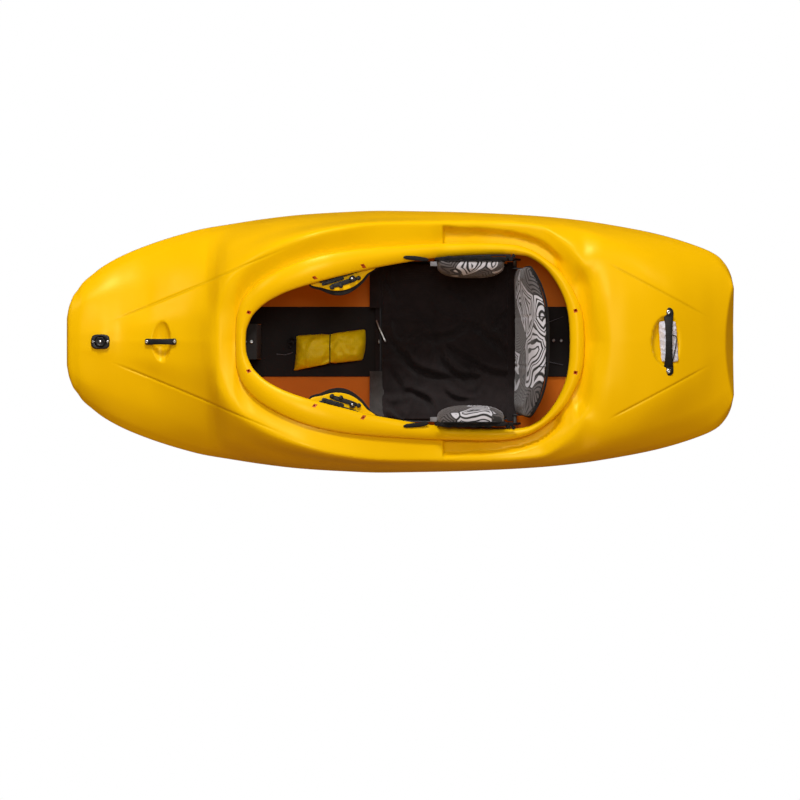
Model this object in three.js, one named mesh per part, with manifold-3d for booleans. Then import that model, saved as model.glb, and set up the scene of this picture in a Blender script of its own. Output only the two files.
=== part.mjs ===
// Whitewater kayak: a short, wide freestyle boat moulded in yellow polyethylene, with its outfitting.
// Millimetres. +Z is up, the bow points to -X, starboard is +Y.
// The origin is on the ground under the middle of the hull.
import * as THREE from 'three';
import { mergeVertices } from 'three/addons/utils/BufferGeometryUtils.js';
import Module from 'manifold-3d';

const wasm = await Module();
wasm.setup();

// Driving sizes of the moulding
const LENGTH = 1740;
const BEAM = 689;
const HEIGHT = 381;
const WALL = 6;
const GAP = 0.3;
const OVERRUN = 60;
const MERGE_DISTANCE = 0.0001;

// Cockpit rim: a broad rolled edge on a stem that the deck butts against
const RIM_WALL = 6;
const RIM_CROWN = 9;
const RIM_LIP = 20;
const RIM_SKIRT = 24;
const RIM_STAND = 20;
const RIM_STEM_DEPTH = 46;
const RIM_STEM_SHARE = 0.35;
const RIM_STEPS = 24;
const LACING_HOLE_RADIUS = 3.5;
const DECK_FOOT_LEAST_SHARE = 0.08;

// Hip recess beside the rim, and the finger dishes under the two grips
const RECESS_DEPTH = 33;
const DISH_DEPTH = 15;
const BOW_DISH_LENGTH = 50;
const BOW_DISH_WIDTH = 112;
const STERN_DISH_LENGTH = 84;
const STERN_DISH_WIDTH = 134;

// Drain plug
const DRAIN_HOUSING_LENGTH = 48;
const DRAIN_HOUSING_WIDTH = 38;
const DRAIN_HOUSING_HEIGHT = 8;
const DRAIN_HOUSING_CORNER = 9;
const DRAIN_KNOB_RADIUS = 13;
const DRAIN_KNOB_HEIGHT = 7;
const DRAIN_KNOB_LOBES = 6;
const DRAIN_LOBE_SHARE = 0.07;
const DRAIN_SHANK_RADIUS = 7.5;
const DRAIN_SHANK_LENGTH = 22;
const DRAIN_SEAL_THICKNESS = 3;
const DRAIN_SCREW_RADIUS = 3.6;
const DRAIN_STUD_RADIUS = 4;
const DRAIN_STUD_HEIGHT = 2;

// Security bar on the foredeck and handle on the aft deck
const BOW_BAR_LENGTH = 84;
const BOW_BAR_WIDTH = 17;
const BOW_BAR_THICKNESS = 5;
const BOW_BAR_RISE = 6;
const HANDLE_SPAN = 178;
const HANDLE_WIDTH = 26;
const HANDLE_WAIST = 17;
const HANDLE_THICKNESS = 6;
const HANDLE_RISE = 12;
const HANDLE_ARCH_SHARE = 0.72;
const HANDLE_DROOP_SHARE = 0.06;
const HANDLE_FLARE = 1.3;
const TAG_LENGTH = 44;
const TAG_WIDTH = 100;
const TAG_THICKNESS = 9;
const TAG_CLEARANCE = 6;

// Fasteners
const SCREW_HEAD_RADIUS = 4.5;
const SCREW_HEAD_HEIGHT = 2.6;
const SCREW_SHANK_RADIUS = 2.5;
const BOLT_HEAD_RADIUS = 6.5;
const BOLT_HEAD_HEIGHT = 3.4;
const BOLT_SHANK_RADIUS = 3;
const SHANK_BEYOND = 5;
const SHANK_CLEARANCE = 0.5;
const PILLAR_BOLT_RADIUS = 4.5;
const PILLAR_BOLT_SPACING = 17;
const PILLAR_BOLT_CLEARANCE = 3.7;
const HOLE_SIDES = 8;
const FASTENER_SIDES = 12;
const ROUND_SIDES = 20;

// Foam inside the shell
const PILLAR_WIDTH = 91;
const FLOOR_MAT_WIDTH = 186;
const FLOOR_MAT_THICKNESS = 8;
const FOOT_BLOCK_LENGTH = 64;
const FOOT_BLOCK_REACH = 170;
const FOOT_BLOCK_TOP_SHARE = 0.525;

// Seat
const SEAT_FRONT_PLACE_SHARE = 0.4672;
const SEAT_LENGTH = 349;
const SEAT_SIDE_CLEARANCE = 14.7;
const PAN_WALL = 5;
const RAIL_WIDTH = 24;
const RAIL_SPACING = 140;
const RAIL_TOP = 28;
const RAIL_MARGIN = 34;
const CUSHION_THICKNESS = 26;
const CUSHION_EDGE = 8;
const CHANNEL_DEPTH = 5;
const CHANNEL_PLACE_SHARE = 0.4;
const CHANNEL_WIDTH_SHARE = 0.07;
const SEAT_CORNER_SHARE = 0.05;
const SEAT_STEPS = 14;
const BUCKET_FLAT = 95;
const BUCKET_RISE = 78;
const SEAT_FRONT_RISE = 26;
const STRAP_LENGTH = 30;
const STRAP_WIDTH = 12;
const STRAP_THICKNESS = 2.5;

// Hip plates and pads
const HIP_PLATE_THICKNESS = 5;
const HIP_PLATE_LENGTH = 226;
const HIP_PLATE_BACK_MARGIN = 15;
const HIP_PLATE_BASE = 88;
const HIP_PLATE_DROP = 30;
const HIP_PAD_LENGTH = 176;
const HIP_PAD_THICKNESS = 38;
const HIP_PAD_BASE = 128;
const HIP_PAD_RISE_FRONT = 62;
const HIP_PAD_RISE_BACK = 32;
const HIP_PAD_EDGE = 9;
const HIP_PAD_TAPER_SHARE = 0.1;
const HIP_PAD_CORNER_DROP = 7;

// Backband
const BAND_SIDE_CLEARANCE = 18;
const BAND_PLACE_SHARE = 0.6672;
const BAND_BASE = 142;
const BAND_RISE = 35;
const BAND_END_DROP = 16;
const BAND_LEAN = 58;
const BAND_END_LEAN = 10;
const BAND_PAD_THICKNESS = 26;
const BAND_PAD_EDGE = 8;
const BAND_SHELL_THICKNESS = 4;
const BAND_SEAM_PLACE_SHARE = 0.333;
const BAND_SEAM_WIDTH_SHARE = 0.05;
const BAND_COLUMNS = 24;
const BAND_ROWS = 4;
const PIN_RADIUS = 5;
const PIN_HEAD_RADIUS = 8;
const PIN_HEAD_HEIGHT = 3;

// Thigh braces with their tracks
const BRACE_THICKNESS = 5;
const BRACE_PAD_THICKNESS = 8;
const BRACE_SLOPE = -0.186;
const BRACE_SKEW = 0.31;
const TRACK_LENGTH = 104;
const TRACK_WIDTH = 14;
const TRACK_THICKNESS = 7;
const KNOB_RADIUS = 8.5;
const KNOB_HEIGHT = 12;
const KNOB_STUD_RADIUS = 3.5;
const KNOB_STUD_HEIGHT = 3;
const KNOB_OFFSET = 18;
const KNOB_AFT = 28;

// Kit bag on the floor mat, with its elastic
const BAG_LENGTH = 192;
const BAG_WIDTH = 92;
const BAG_THICKNESS = 46;
const BAG_EDGE = 5;
const BAG_WAIST_SHARE = 0.06;
const BAG_COLUMNS = 14;
const BAG_ROWS = 8;
const BAG_TURN = -0.09;
const BAND_ELASTIC_WIDTH = 9;
const BAND_ELASTIC_THICKNESS = 2;

// Backband adjusters on the rim
const TAB_LENGTH = 66;
const TAB_PAD_CLEARANCE = 21;
const TAB_WIDTH = 10;
const TAB_THICKNESS = 4;
const TAB_CROWN = 1;
const TAB_SKEW_SHARE = 0.9;
const TAB_TAPER_SHARE = 0.25;
const CLEAT_LENGTH = 18;
const CLEAT_INSET = 16;
const CLEAT_WIDTH = 12;
const CLEAT_HEIGHT = 8;
const CORD_DIAMETER = 4;
const CORD_SIDES = 8;

// Places along the boat, as shares of the length from the bow
const DRAIN_PLACE_SHARE = 0.0515;
const BOW_BAR_PLACE_SHARE = 0.1421;
const HANDLE_PLACE_SHARE = 0.8975;
const PILLAR_FRONT_SHARE = 0.1;
const PILLAR_BACK_SHARE = 0.286;
const REAR_PILLAR_FRONT_SHARE = 0.785;
const REAR_PILLAR_BACK_SHARE = 0.94;
const FOOT_BLOCK_PLACE_SHARE = 0.145;
const FRONT_MAT_BACK_SHARE = 0.462;
const REAR_MAT_FRONT_SHARE = 0.69;
const REAR_MAT_BACK_SHARE = 0.783;
const TRACK_PLACE_SHARE = 0.4092;
const BAG_PLACE_SHARE = 0.3936;
const BAG_SIDE_SHARE = -0.061;
const BOW_SOLID_SHARE = 0.014;
const STERN_SOLID_SHARE = 0.987;

// Shares of the length where the moulding's cross-sections stand
const STATION_SHARES = [
  0, 0.003, 0.0149, 0.0372, 0.067, 0.0997, 0.1369, 0.1771, 0.2009, 0.2113, 0.2217, 0.2307, 0.2426,
  0.2545, 0.2649, 0.2768, 0.3, 0.3223, 0.3571, 0.3955, 0.439, 0.4877, 0.5432, 0.5878, 0.622, 0.6562,
  0.7068, 0.7396, 0.7589, 0.7738, 0.7842, 0.7961, 0.811, 0.8289, 0.8557, 0.8929, 0.9449, 0.9702, 0.9866,
  1,
];

// Share of the length, share of the half beam
const BREADTH_SHARES = [
  [0, 0.188], [0.003, 0.271], [0.006, 0.316], [0.0089, 0.353], [0.0149, 0.395], [0.0223, 0.451],
  [0.0372, 0.519], [0.0521, 0.579], [0.0818, 0.665], [0.1116, 0.729], [0.1414, 0.782], [0.1711, 0.827],
  [0.2009, 0.865], [0.2455, 0.902], [0.2902, 0.936], [0.3497, 0.97], [0.4092, 0.989], [0.4688, 1],
  [0.5283, 0.996], [0.5878, 0.989], [0.6473, 0.977], [0.7068, 0.959], [0.7664, 0.929], [0.8259, 0.883],
  [0.8854, 0.823], [0.9449, 0.733], [0.9747, 0.658], [0.9881, 0.59], [1, 0.432],
];

// Share of the length, then shares of the height
const SHEER_SHARES = [
  [0, 0.577], [0.0104, 0.546], [0.0223, 0.514], [0.0372, 0.483], [0.058, 0.451], [0.0818, 0.423],
  [0.1176, 0.396], [0.1771, 0.378], [0.2366, 0.373], [0.3586, 0.386], [0.564, 0.394], [0.6622, 0.407],
  [0.7768, 0.423], [0.8824, 0.436], [0.9658, 0.449], [1, 0.451],
];
const KEEL_SHARES = [
  [0, 0.562], [0.003, 0.538], [0.0089, 0.504], [0.0149, 0.467], [0.0223, 0.436], [0.0372, 0.388],
  [0.0521, 0.346], [0.0818, 0.278], [0.1116, 0.226], [0.1414, 0.176], [0.1711, 0.136], [0.2009, 0.102],
  [0.2307, 0.073], [0.2604, 0.05], [0.2902, 0.029], [0.3223, 0], [0.5878, 0], [0.625, 0.007],
  [0.6548, 0.017], [0.6771, 0.026], [0.7068, 0.042], [0.7366, 0.06], [0.7664, 0.081], [0.7961, 0.109],
  [0.8557, 0.176], [0.9152, 0.244], [0.9449, 0.286], [0.9747, 0.325], [0.9896, 0.349], [1, 0.386],
];

// Share of the length, share of the breadth there, share of the height
const CHINE_SHARES = [
  [0, 0.9, 0.57], [0.0223, 0.905, 0.451], [0.0521, 0.91, 0.375], [0.0967, 0.91, 0.323],
  [0.1429, 0.91, 0.262], [0.2068, 0.91, 0.192], [0.2976, 0.91, 0.16], [0.4345, 0.91, 0.157],
  [0.5863, 0.912, 0.165], [0.7381, 0.925, 0.207], [0.8899, 0.94, 0.307], [0.9524, 0.947, 0.349],
  [0.9896, 0.95, 0.375], [1, 0.955, 0.394],
];
const RAIL_SHARES = [
  [0, 0.6], [0.0923, 0.63], [0.1562, 0.675], [0.2545, 0.7], [0.3854, 0.72], [0.5491, 0.733],
  [0.6801, 0.737], [0.811, 0.727], [0.9152, 0.74], [0.9688, 0.767], [1, 0.8],
];

// Deck: share of the length, height of its middle, then breadth and height of the foot of the
// middle, of the crease, of the shoulder and of the outer side, as shares
const DECK_SHARES = [
  [0, 0.583, 0.15, 0.583, 0.3, 0.583, 0.65, 0.581, 0.9, 0.58],
  [0.003, 0.606, 0.15, 0.606, 0.3, 0.605, 0.65, 0.598, 0.9, 0.583],
  [0.0104, 0.619, 0.12, 0.619, 0.25, 0.617, 0.62, 0.604, 0.88, 0.575],
  [0.0223, 0.63, 0.11, 0.63, 0.22, 0.627, 0.6, 0.609, 0.88, 0.559],
  [0.0521, 0.633, 0.1, 0.633, 0.2, 0.625, 0.6, 0.588, 0.88, 0.52],
  [0.0818, 0.614, 0.13, 0.609, 0.27, 0.598, 0.62, 0.556, 0.88, 0.486],
  [0.119, 0.638, 0.16, 0.627, 0.33, 0.591, 0.66, 0.538, 0.89, 0.462],
  [0.1488, 0.672, 0.18, 0.659, 0.37, 0.619, 0.69, 0.549, 0.9, 0.462],
  [0.1771, 0.717, 0.2, 0.703, 0.41, 0.659, 0.72, 0.57, 0.91, 0.467],
  [0.2009, 0.78, 0.2, 0.766, 0.43, 0.706, 0.74, 0.593, 0.92, 0.475],
  [0.2113, 0.822, 0.18, 0.808, 0.4, 0.748, 0.73, 0.612, 0.925, 0.48],
  [0.2217, 0.858, 0.16, 0.853, 0.34, 0.824, 0.73, 0.646, 0.93, 0.488],
  [0.2307, 0.874, 0.18, 0.874, 0.36, 0.871, 0.75, 0.677, 0.932, 0.496],
  [0.2426, 0.864, 0.22, 0.871, 0.45, 0.89, 0.78, 0.709, 0.935, 0.507],
  [0.2545, 0.85, 0.26, 0.866, 0.53, 0.9, 0.8, 0.727, 0.94, 0.517],
  [0.2768, 0.866, 0.3, 0.871, 0.63, 0.924, 0.83, 0.751, 0.95, 0.535],
  [0.3125, 0.898, 0.5, 0.919, 0.72, 0.966, 0.875, 0.764, 0.965, 0.556],
  [0.3571, 0.919, 0.5, 0.94, 0.79, 0.99, 0.9, 0.769, 0.968, 0.562],
  [0.4092, 0.906, 0.5, 0.919, 0.845, 0.953, 0.918, 0.761, 0.97, 0.559],
  [0.4688, 0.85, 0.5, 0.85, 0.877, 0.866, 0.93, 0.703, 0.972, 0.541],
  [0.5432, 0.724, 0.5, 0.724, 0.89, 0.756, 0.94, 0.643, 0.975, 0.522],
  [0.5878, 0.688, 0.5, 0.688, 0.9, 0.709, 0.946, 0.619, 0.977, 0.517],
  [0.6562, 0.651, 0.5, 0.651, 0.91, 0.672, 0.952, 0.601, 0.978, 0.509],
  [0.7068, 0.656, 0.5, 0.656, 0.9, 0.677, 0.946, 0.604, 0.977, 0.517],
  [0.7396, 0.667, 0.5, 0.667, 0.8, 0.717, 0.925, 0.63, 0.972, 0.525],
  [0.7589, 0.672, 0.5, 0.672, 0.71, 0.745, 0.9, 0.654, 0.966, 0.533],
  [0.7738, 0.677, 0.45, 0.703, 0.62, 0.761, 0.88, 0.669, 0.96, 0.541],
  [0.7842, 0.703, 0.42, 0.756, 0.64, 0.764, 0.87, 0.682, 0.957, 0.543],
  [0.7961, 0.753, 0.4, 0.78, 0.68, 0.761, 0.86, 0.693, 0.955, 0.546],
  [0.811, 0.79, 0.35, 0.79, 0.65, 0.764, 0.84, 0.698, 0.95, 0.551],
  [0.8289, 0.795, 0.3, 0.79, 0.6, 0.766, 0.815, 0.701, 0.945, 0.554],
  [0.8557, 0.782, 0.27, 0.777, 0.535, 0.764, 0.79, 0.69, 0.94, 0.549],
  [0.8929, 0.748, 0.22, 0.748, 0.43, 0.743, 0.75, 0.661, 0.93, 0.538],
  [0.9449, 0.656, 0.15, 0.656, 0.29, 0.654, 0.68, 0.598, 0.91, 0.514],
  [0.9702, 0.596, 0.1, 0.596, 0.21, 0.593, 0.64, 0.562, 0.9, 0.501],
  [0.9896, 0.551, 0.1, 0.551, 0.2, 0.55, 0.6, 0.538, 0.88, 0.504],
  [1, 0.528, 0.1, 0.528, 0.2, 0.528, 0.6, 0.525, 0.88, 0.517],
];

// Half outlines of the rim from bow to stern: share of the length, share of the half beam
const RIM_OUTER_SHARES = [
  [0.2551, 0], [0.256, 0.15], [0.2597, 0.241], [0.2634, 0.293], [0.2812, 0.406], [0.3177, 0.526],
  [0.372, 0.632], [0.4256, 0.684], [0.4985, 0.718], [0.558, 0.737], [0.6324, 0.744], [0.6667, 0.733],
  [0.6875, 0.707], [0.7068, 0.658], [0.7211, 0.605], [0.7366, 0.534], [0.75, 0.451], [0.7619, 0.338],
  [0.7679, 0.263], [0.7723, 0.15], [0.7738, 0],
];
const RIM_INNER_SHARES = [
  [0.2708, 0], [0.2716, 0.075], [0.2753, 0.135], [0.2812, 0.195], [0.2887, 0.237], [0.2991, 0.282],
  [0.3095, 0.316], [0.3348, 0.376], [0.369, 0.432], [0.4167, 0.496], [0.4554, 0.544], [0.4985, 0.586],
  [0.5432, 0.624], [0.6027, 0.65], [0.6548, 0.658], [0.683, 0.647], [0.7039, 0.598], [0.7211, 0.519],
  [0.7393, 0.368], [0.747, 0.256], [0.7507, 0.12], [0.7515, 0],
];
const RIM_HEIGHT_SHARES = [
  [0.2545, 0.9], [0.2753, 0.924], [0.2976, 0.958], [0.3274, 0.987], [0.3571, 0.997], [0.3869, 0.987],
  [0.4167, 0.961], [0.4464, 0.927], [0.4762, 0.89], [0.506, 0.848], [0.5432, 0.787], [0.5625, 0.753],
  [0.5878, 0.738], [0.6324, 0.711], [0.6771, 0.703], [0.7143, 0.707], [0.744, 0.717], [0.7738, 0.727],
];

// Outer edge of the hip recess: share of the length, share of the half beam
const RECESS_OUTER_SHARES = [
  [0.5625, 0.859], [0.59, 0.853], [0.62, 0.846], [0.645, 0.836], [0.669, 0.822], [0.69, 0.795],
  [0.7095, 0.755], [0.726, 0.69], [0.742, 0.6],
];

// Lacing holes through the rim: share along its half outline, share across it from the outer edge
const LACING_SHARES = [[0.07, 0.68], [0.244, 0.82], [0.3625, 0.81], [0.929, 0.44]];

// Plan of a thigh brace: share along the track, inward reach from its line, as shares of its length
const BRACE_OUTLINE_SHARES = [
  [-0.72, 0], [-0.47, 0.17], [-0.28, 0.29], [0, 0.37], [0.26, 0.35], [0.48, 0.26], [0.62, 0.17],
  [0.88, 0.05], [0.88, -0.01], [0.5, -0.14], [0.1, -0.19], [-0.72, -0.19],
];
const BRACE_PAD_OUTLINE_SHARES = [
  [-0.75, 0.04], [-0.52, 0.22], [-0.37, 0.35], [-0.18, 0.45], [0.03, 0.48], [0.26, 0.43], [0.45, 0.35],
  [0.59, 0.26], [0.73, 0.16], [0.95, 0.07], [0.94, 0], [0.5, -0.13], [0.1, -0.17], [-0.7, -0.16],
];

// Shares of the length where a backband cord's route along the inside of the rim is set out
const CORD_ROUTE_SHARES = [0.5603, 0.575, 0.595, 0.62, 0.645, 0.664];

// Reads a column of a table at a share, smoothly and without overshoot, and flat beyond its ends
function readTable(table, at, column) {
  const last = table.length - 1;
  if (at <= table[0][0]) {
    return table[0][column];
  }
  if (at >= table[last][0]) {
    return table[last][column];
  }
  const row = table.findIndex((entry) => entry[0] > at) - 1;
  const span = table[row + 1][0] - table[row][0];
  const t = (at - table[row][0]) / span;
  const from = table[row][column];
  const to = table[row + 1][column];
  const leave = span * slopeAt(table, row, column);
  const arrive = span * slopeAt(table, row + 1, column);
  const ease = t * t * (3 - 2 * t);
  return from * (1 - ease) + to * ease + leave * t * (1 - t) ** 2 - arrive * t * t * (1 - t);
}

// Slope at a row: the harmonic mean of both sides, or nothing where they disagree
function slopeAt(table, row, column) {
  const rise = (a, b) => (table[b][column] - table[a][column]) / (table[b][0] - table[a][0]);
  if (row === 0) {
    return rise(0, 1);
  }
  if (row === table.length - 1) {
    return rise(row - 1, row);
  }
  const before = rise(row - 1, row);
  const after = rise(row, row + 1);
  return before * after <= 0 ? 0 : (2 * before * after) / (before + after);
}

// A path as a table whose first column is the share of its length
function pathTable(points) {
  const rows = [];
  let along = 0;
  points.forEach((point, index) => {
    if (index > 0) {
      along += Math.hypot(point[0] - points[index - 1][0], point[1] - points[index - 1][1]);
    }
    rows.push([along, point[0], point[1]]);
  });
  return rows.map((row) => [row[0] / along, row[1], row[2]]);
}

const stationX = (share) => (share - 0.5) * LENGTH;
const shareAt = (x) => x / LENGTH + 0.5;
const halfBreadth = (share) => (BEAM / 2) * readTable(BREADTH_SHARES, share, 1);
const sheerHeight = (share) => HEIGHT * readTable(SHEER_SHARES, share, 1);
const keelHeight = (share) => HEIGHT * readTable(KEEL_SHARES, share, 1);
const deckMiddle = (share) => HEIGHT * readTable(DECK_SHARES, share, 1);
const rimHeight = (x) => HEIGHT * readTable(RIM_HEIGHT_SHARES, shareAt(x), 1);
const floorHeight = (x) => keelHeight(shareAt(x)) + WALL;

const rimOuterPath = pathTable(RIM_OUTER_SHARES.map(([along, out]) => [along * LENGTH, (out * BEAM) / 2]));
const rimInnerPath = pathTable(RIM_INNER_SHARES.map(([along, out]) => [along * LENGTH, (out * BEAM) / 2]));

// Half breadth of a rim outline at a share of the length
function outlineBreadth(shares, share) {
  const inside = share > shares[0][0] && share < shares[shares.length - 1][0];
  return inside ? (BEAM / 2) * readTable(shares, share, 1) : 0;
}

// Foot of the deck's middle: at the rim where there is one, and from the table elsewhere
function deckFoot(share) {
  const reach = outlineBreadth(RIM_OUTER_SHARES, share);
  const inside = reach > 0;
  const least = DECK_FOOT_LEAST_SHARE * halfBreadth(share);
  const out = inside ? Math.max(reach, least) : halfBreadth(share) * readTable(DECK_SHARES, share, 2);
  const up = inside ? rimHeight(stationX(share)) - RIM_STAND : HEIGHT * readTable(DECK_SHARES, share, 3);
  return [out, up];
}

// Deck profile at a share of the length, from the sheer to the middle, as [breadth, height]
function deckProfile(share) {
  const half = halfBreadth(share);
  const point = (column) => [
    half * readTable(DECK_SHARES, share, column),
    HEIGHT * readTable(DECK_SHARES, share, column + 1),
  ];
  const foot = deckFoot(share);
  const inside = outlineBreadth(RIM_OUTER_SHARES, share) > 0;
  const middle = [0, inside ? foot[1] : deckMiddle(share)];
  const path = pathTable([[half, sheerHeight(share)], point(8), point(6), point(4), foot, middle]);
  const points = [];
  for (let row = 1; row < path.length; row += 1) {
    const halfway = (path[row - 1][0] + path[row][0]) / 2;
    if (row > 1 && row < 5) {
      points.push([readTable(path, halfway, 1), readTable(path, halfway, 2)]);
    }
    points.push([path[row][1], path[row][2]]);
  }
  return points;
}

// Whole cross-section at a share of the length, as a closed ring from the keel up the starboard side
function sectionRing(share, inset) {
  const half = halfBreadth(share);
  const low = keelHeight(share);
  const side = [
    [half * readTable(RAIL_SHARES, share, 1), low],
    [half * readTable(CHINE_SHARES, share, 1), HEIGHT * readTable(CHINE_SHARES, share, 2)],
    [half, sheerHeight(share)],
    ...deckProfile(share),
  ];
  const top = side.pop();
  const ring = [[0, low], ...side, top, ...side.map(([y, z]) => [-y, z]).reverse()];
  const middle = (low + top[1]) / 2;
  const narrow = (half - inset) / half;
  const flat = (top[1] - low - 2 * inset) / (top[1] - low);
  return ring.map(([y, z]) => [stationX(share), y * narrow, middle + (z - middle) * flat]);
}

// Geometry from points and triangles
function closedGeometry(points, triangles) {
  const geometry = new THREE.BufferGeometry();
  geometry.setAttribute('position', new THREE.Float32BufferAttribute(points.flat(), 3));
  geometry.setIndex(triangles.flat());
  return geometry;
}

// Skin through a row of closed rings with as many points each, closed at both ends
function loftGeometry(rings) {
  const count = rings[0].length;
  const triangles = [];
  for (let ring = 0; ring + 1 < rings.length; ring += 1) {
    for (let side = 0; side < count; side += 1) {
      const a = ring * count + side;
      const b = ring * count + ((side + 1) % count);
      triangles.push([a, b, b + count], [a, b + count, a + count]);
    }
  }
  const capOf = (ring) => {
    const flat = ring.map(([, y, z]) => new THREE.Vector2(y, z));
    return THREE.ShapeUtils.triangulateShape(flat, []);
  };
  const end = (rings.length - 1) * count;
  capOf(rings[0]).forEach(([a, b, c]) => triangles.push([a, c, b]));
  capOf(rings[rings.length - 1]).forEach(([a, b, c]) => triangles.push([end + a, end + b, end + c]));
  return closedGeometry(rings.flat(), triangles);
}

// Closed ring-shaped skin: sections with as many points each, joined end to end
function ringGeometry(sections) {
  const count = sections[0].length;
  const total = sections.length;
  const triangles = [];
  for (let section = 0; section < total; section += 1) {
    const next = (section + 1) % total;
    for (let side = 0; side < count; side += 1) {
      const over = (side + 1) % count;
      const a = section * count + side;
      const b = section * count + over;
      const c = next * count + over;
      const d = next * count + side;
      triangles.push([a, b, c], [a, c, d]);
    }
  }
  return closedGeometry(sections.flat(), triangles);
}

// Closed form between an upper and a lower sheet over the same grid, u and v running from -1 to 1
function sheetGeometry(columns, rows, upperAt, lowerAt) {
  const points = [];
  [upperAt, lowerAt].forEach((sheet) => {
    for (let column = 0; column <= columns; column += 1) {
      for (let row = 0; row <= rows; row += 1) {
        points.push(sheet((2 * column) / columns - 1, (2 * row) / rows - 1));
      }
    }
  });
  const upper = (column, row) => column * (rows + 1) + row;
  const lower = (column, row) => upper(column, row) + (columns + 1) * (rows + 1);
  const triangles = [];
  const quad = (a, b, c, d) => triangles.push([a, b, c], [a, c, d]);
  for (let column = 0; column < columns; column += 1) {
    for (let row = 0; row < rows; row += 1) {
      const corners = [[column, row], [column + 1, row], [column + 1, row + 1], [column, row + 1]];
      quad(...corners.map((corner) => upper(...corner)));
      const [a, b, c, d] = corners.map((corner) => lower(...corner));
      quad(a, d, c, b);
    }
    quad(lower(column, 0), lower(column + 1, 0), upper(column + 1, 0), upper(column, 0));
    quad(upper(column, rows), upper(column + 1, rows), lower(column + 1, rows), lower(column, rows));
  }
  for (let row = 0; row < rows; row += 1) {
    quad(upper(0, row), upper(0, row + 1), lower(0, row + 1), lower(0, row));
    quad(lower(columns, row), lower(columns, row + 1), upper(columns, row + 1), upper(columns, row));
  }
  return closedGeometry(points, triangles);
}

// Solid for joining and cutting, with its faces turned outwards
function solidOf(geometry) {
  const bare = new THREE.BufferGeometry();
  bare.setAttribute('position', geometry.getAttribute('position').clone());
  if (geometry.index) {
    bare.setIndex(geometry.index.clone());
  }
  const merged = mergeVertices(bare, MERGE_DISTANCE);
  const place = merged.getAttribute('position').array;
  const index = merged.index.array;
  const corner = (vertex) => new THREE.Vector3(...place.slice(3 * vertex, 3 * vertex + 3));
  const kept = [];
  let volume = 0;
  for (let start = 0; start < index.length; start += 3) {
    const [a, b, c] = index.slice(start, start + 3);
    if (a !== b && b !== c && c !== a) {
      kept.push([a, b, c]);
      volume += corner(a).dot(corner(b).cross(corner(c)));
    }
  }
  const turned = volume < 0 ? kept.map(([a, b, c]) => [a, c, b]) : kept;
  const triVerts = new Uint32Array(turned.flat());
  return new wasm.Manifold(new wasm.Mesh({ numProp: 3, vertProperties: new Float32Array(place), triVerts }));
}

function geometryOf(solid) {
  const mesh = solid.getMesh();
  const geometry = new THREE.BufferGeometry();
  geometry.setAttribute('position', new THREE.BufferAttribute(new Float32Array(mesh.vertProperties), 3));
  geometry.setIndex(new THREE.BufferAttribute(new Uint32Array(mesh.triVerts), 1));
  geometry.computeVertexNormals();
  return geometry;
}

// Box between two corners
function boxSolid(low, high) {
  const size = high.map((value, axis) => value - low[axis]);
  const geometry = new THREE.BoxGeometry(...size);
  geometry.translate(...low.map((value, axis) => value + size[axis] / 2));
  return solidOf(geometry);
}

// Side profile of [x, z] points carried across the boat between two breadths
function sideProfileSolid(profile, from, to) {
  const shape = new THREE.Shape(profile.map(([x, z]) => new THREE.Vector2(x, z)));
  const geometry = new THREE.ExtrudeGeometry(shape, { depth: to - from, bevelEnabled: false });
  geometry.rotateX(Math.PI / 2);
  geometry.translate(0, to, 0);
  return solidOf(geometry);
}

// Plan outline of [x, y] points carried upwards
function planSolid(outline, low, high) {
  const shape = new THREE.Shape(outline.map(([x, y]) => new THREE.Vector2(x, y)));
  const geometry = new THREE.ExtrudeGeometry(shape, { depth: high - low, bevelEnabled: false });
  geometry.translate(0, 0, low);
  return solidOf(geometry);
}

// Upright round solid from a profile of [radius, height] points that starts and ends on its axis
function turnedSolid(profile, place, sides = FASTENER_SIDES) {
  const geometry = new THREE.LatheGeometry(profile.map(([r, z]) => new THREE.Vector2(r, z)), sides);
  geometry.rotateX(Math.PI / 2);
  geometry.translate(...place);
  return solidOf(geometry);
}

function postSolid(radius, low, high, x, y, sides = FASTENER_SIDES) {
  return turnedSolid([[0, low], [radius, low], [radius, high], [0, high]], [x, y, 0], sides);
}

// Domed head with its shank below, for a head that sits at a height
function fastenerSolid(headRadius, headHeight, shankRadius, shankLength, [x, y, z]) {
  const profile = [
    [0, -shankLength], [shankRadius, -shankLength], [shankRadius, 0], [headRadius, 0],
    [headRadius, headHeight / 2], [headRadius * 0.6, headHeight], [0, headHeight],
  ];
  return turnedSolid(profile, [x, y, z]);
}

// The boat's outer form, or the form that lies a given inset inside it, with dishes and hip recess
function skinSolid(inset) {
  const within = (share) => inset <= 0 || (share > BOW_SOLID_SHARE && share < STERN_SOLID_SHARE);
  const rings = STATION_SHARES.filter(within).map((share) => sectionRing(share, inset));
  const body = solidOf(loftGeometry(rings));
  const dishes = dishSolid(BOW_BAR_PLACE_SHARE, BOW_DISH_LENGTH, BOW_DISH_WIDTH, inset)
    .add(dishSolid(HANDLE_PLACE_SHARE, STERN_DISH_LENGTH, STERN_DISH_WIDTH, inset));
  return body.subtract(dishes).subtract(recessSolid(1, inset)).subtract(recessSolid(-1, inset));
}

// Oval bowl sunk into the deck under a grip
function dishSolid(share, length, width, grow) {
  const bowl = new THREE.SphereGeometry(1, 20, 10);
  bowl.scale(length / 2 + grow, width / 2 + grow, DISH_DEPTH + grow);
  bowl.translate(stationX(share), 0, deckMiddle(share));
  return solidOf(bowl);
}

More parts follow.
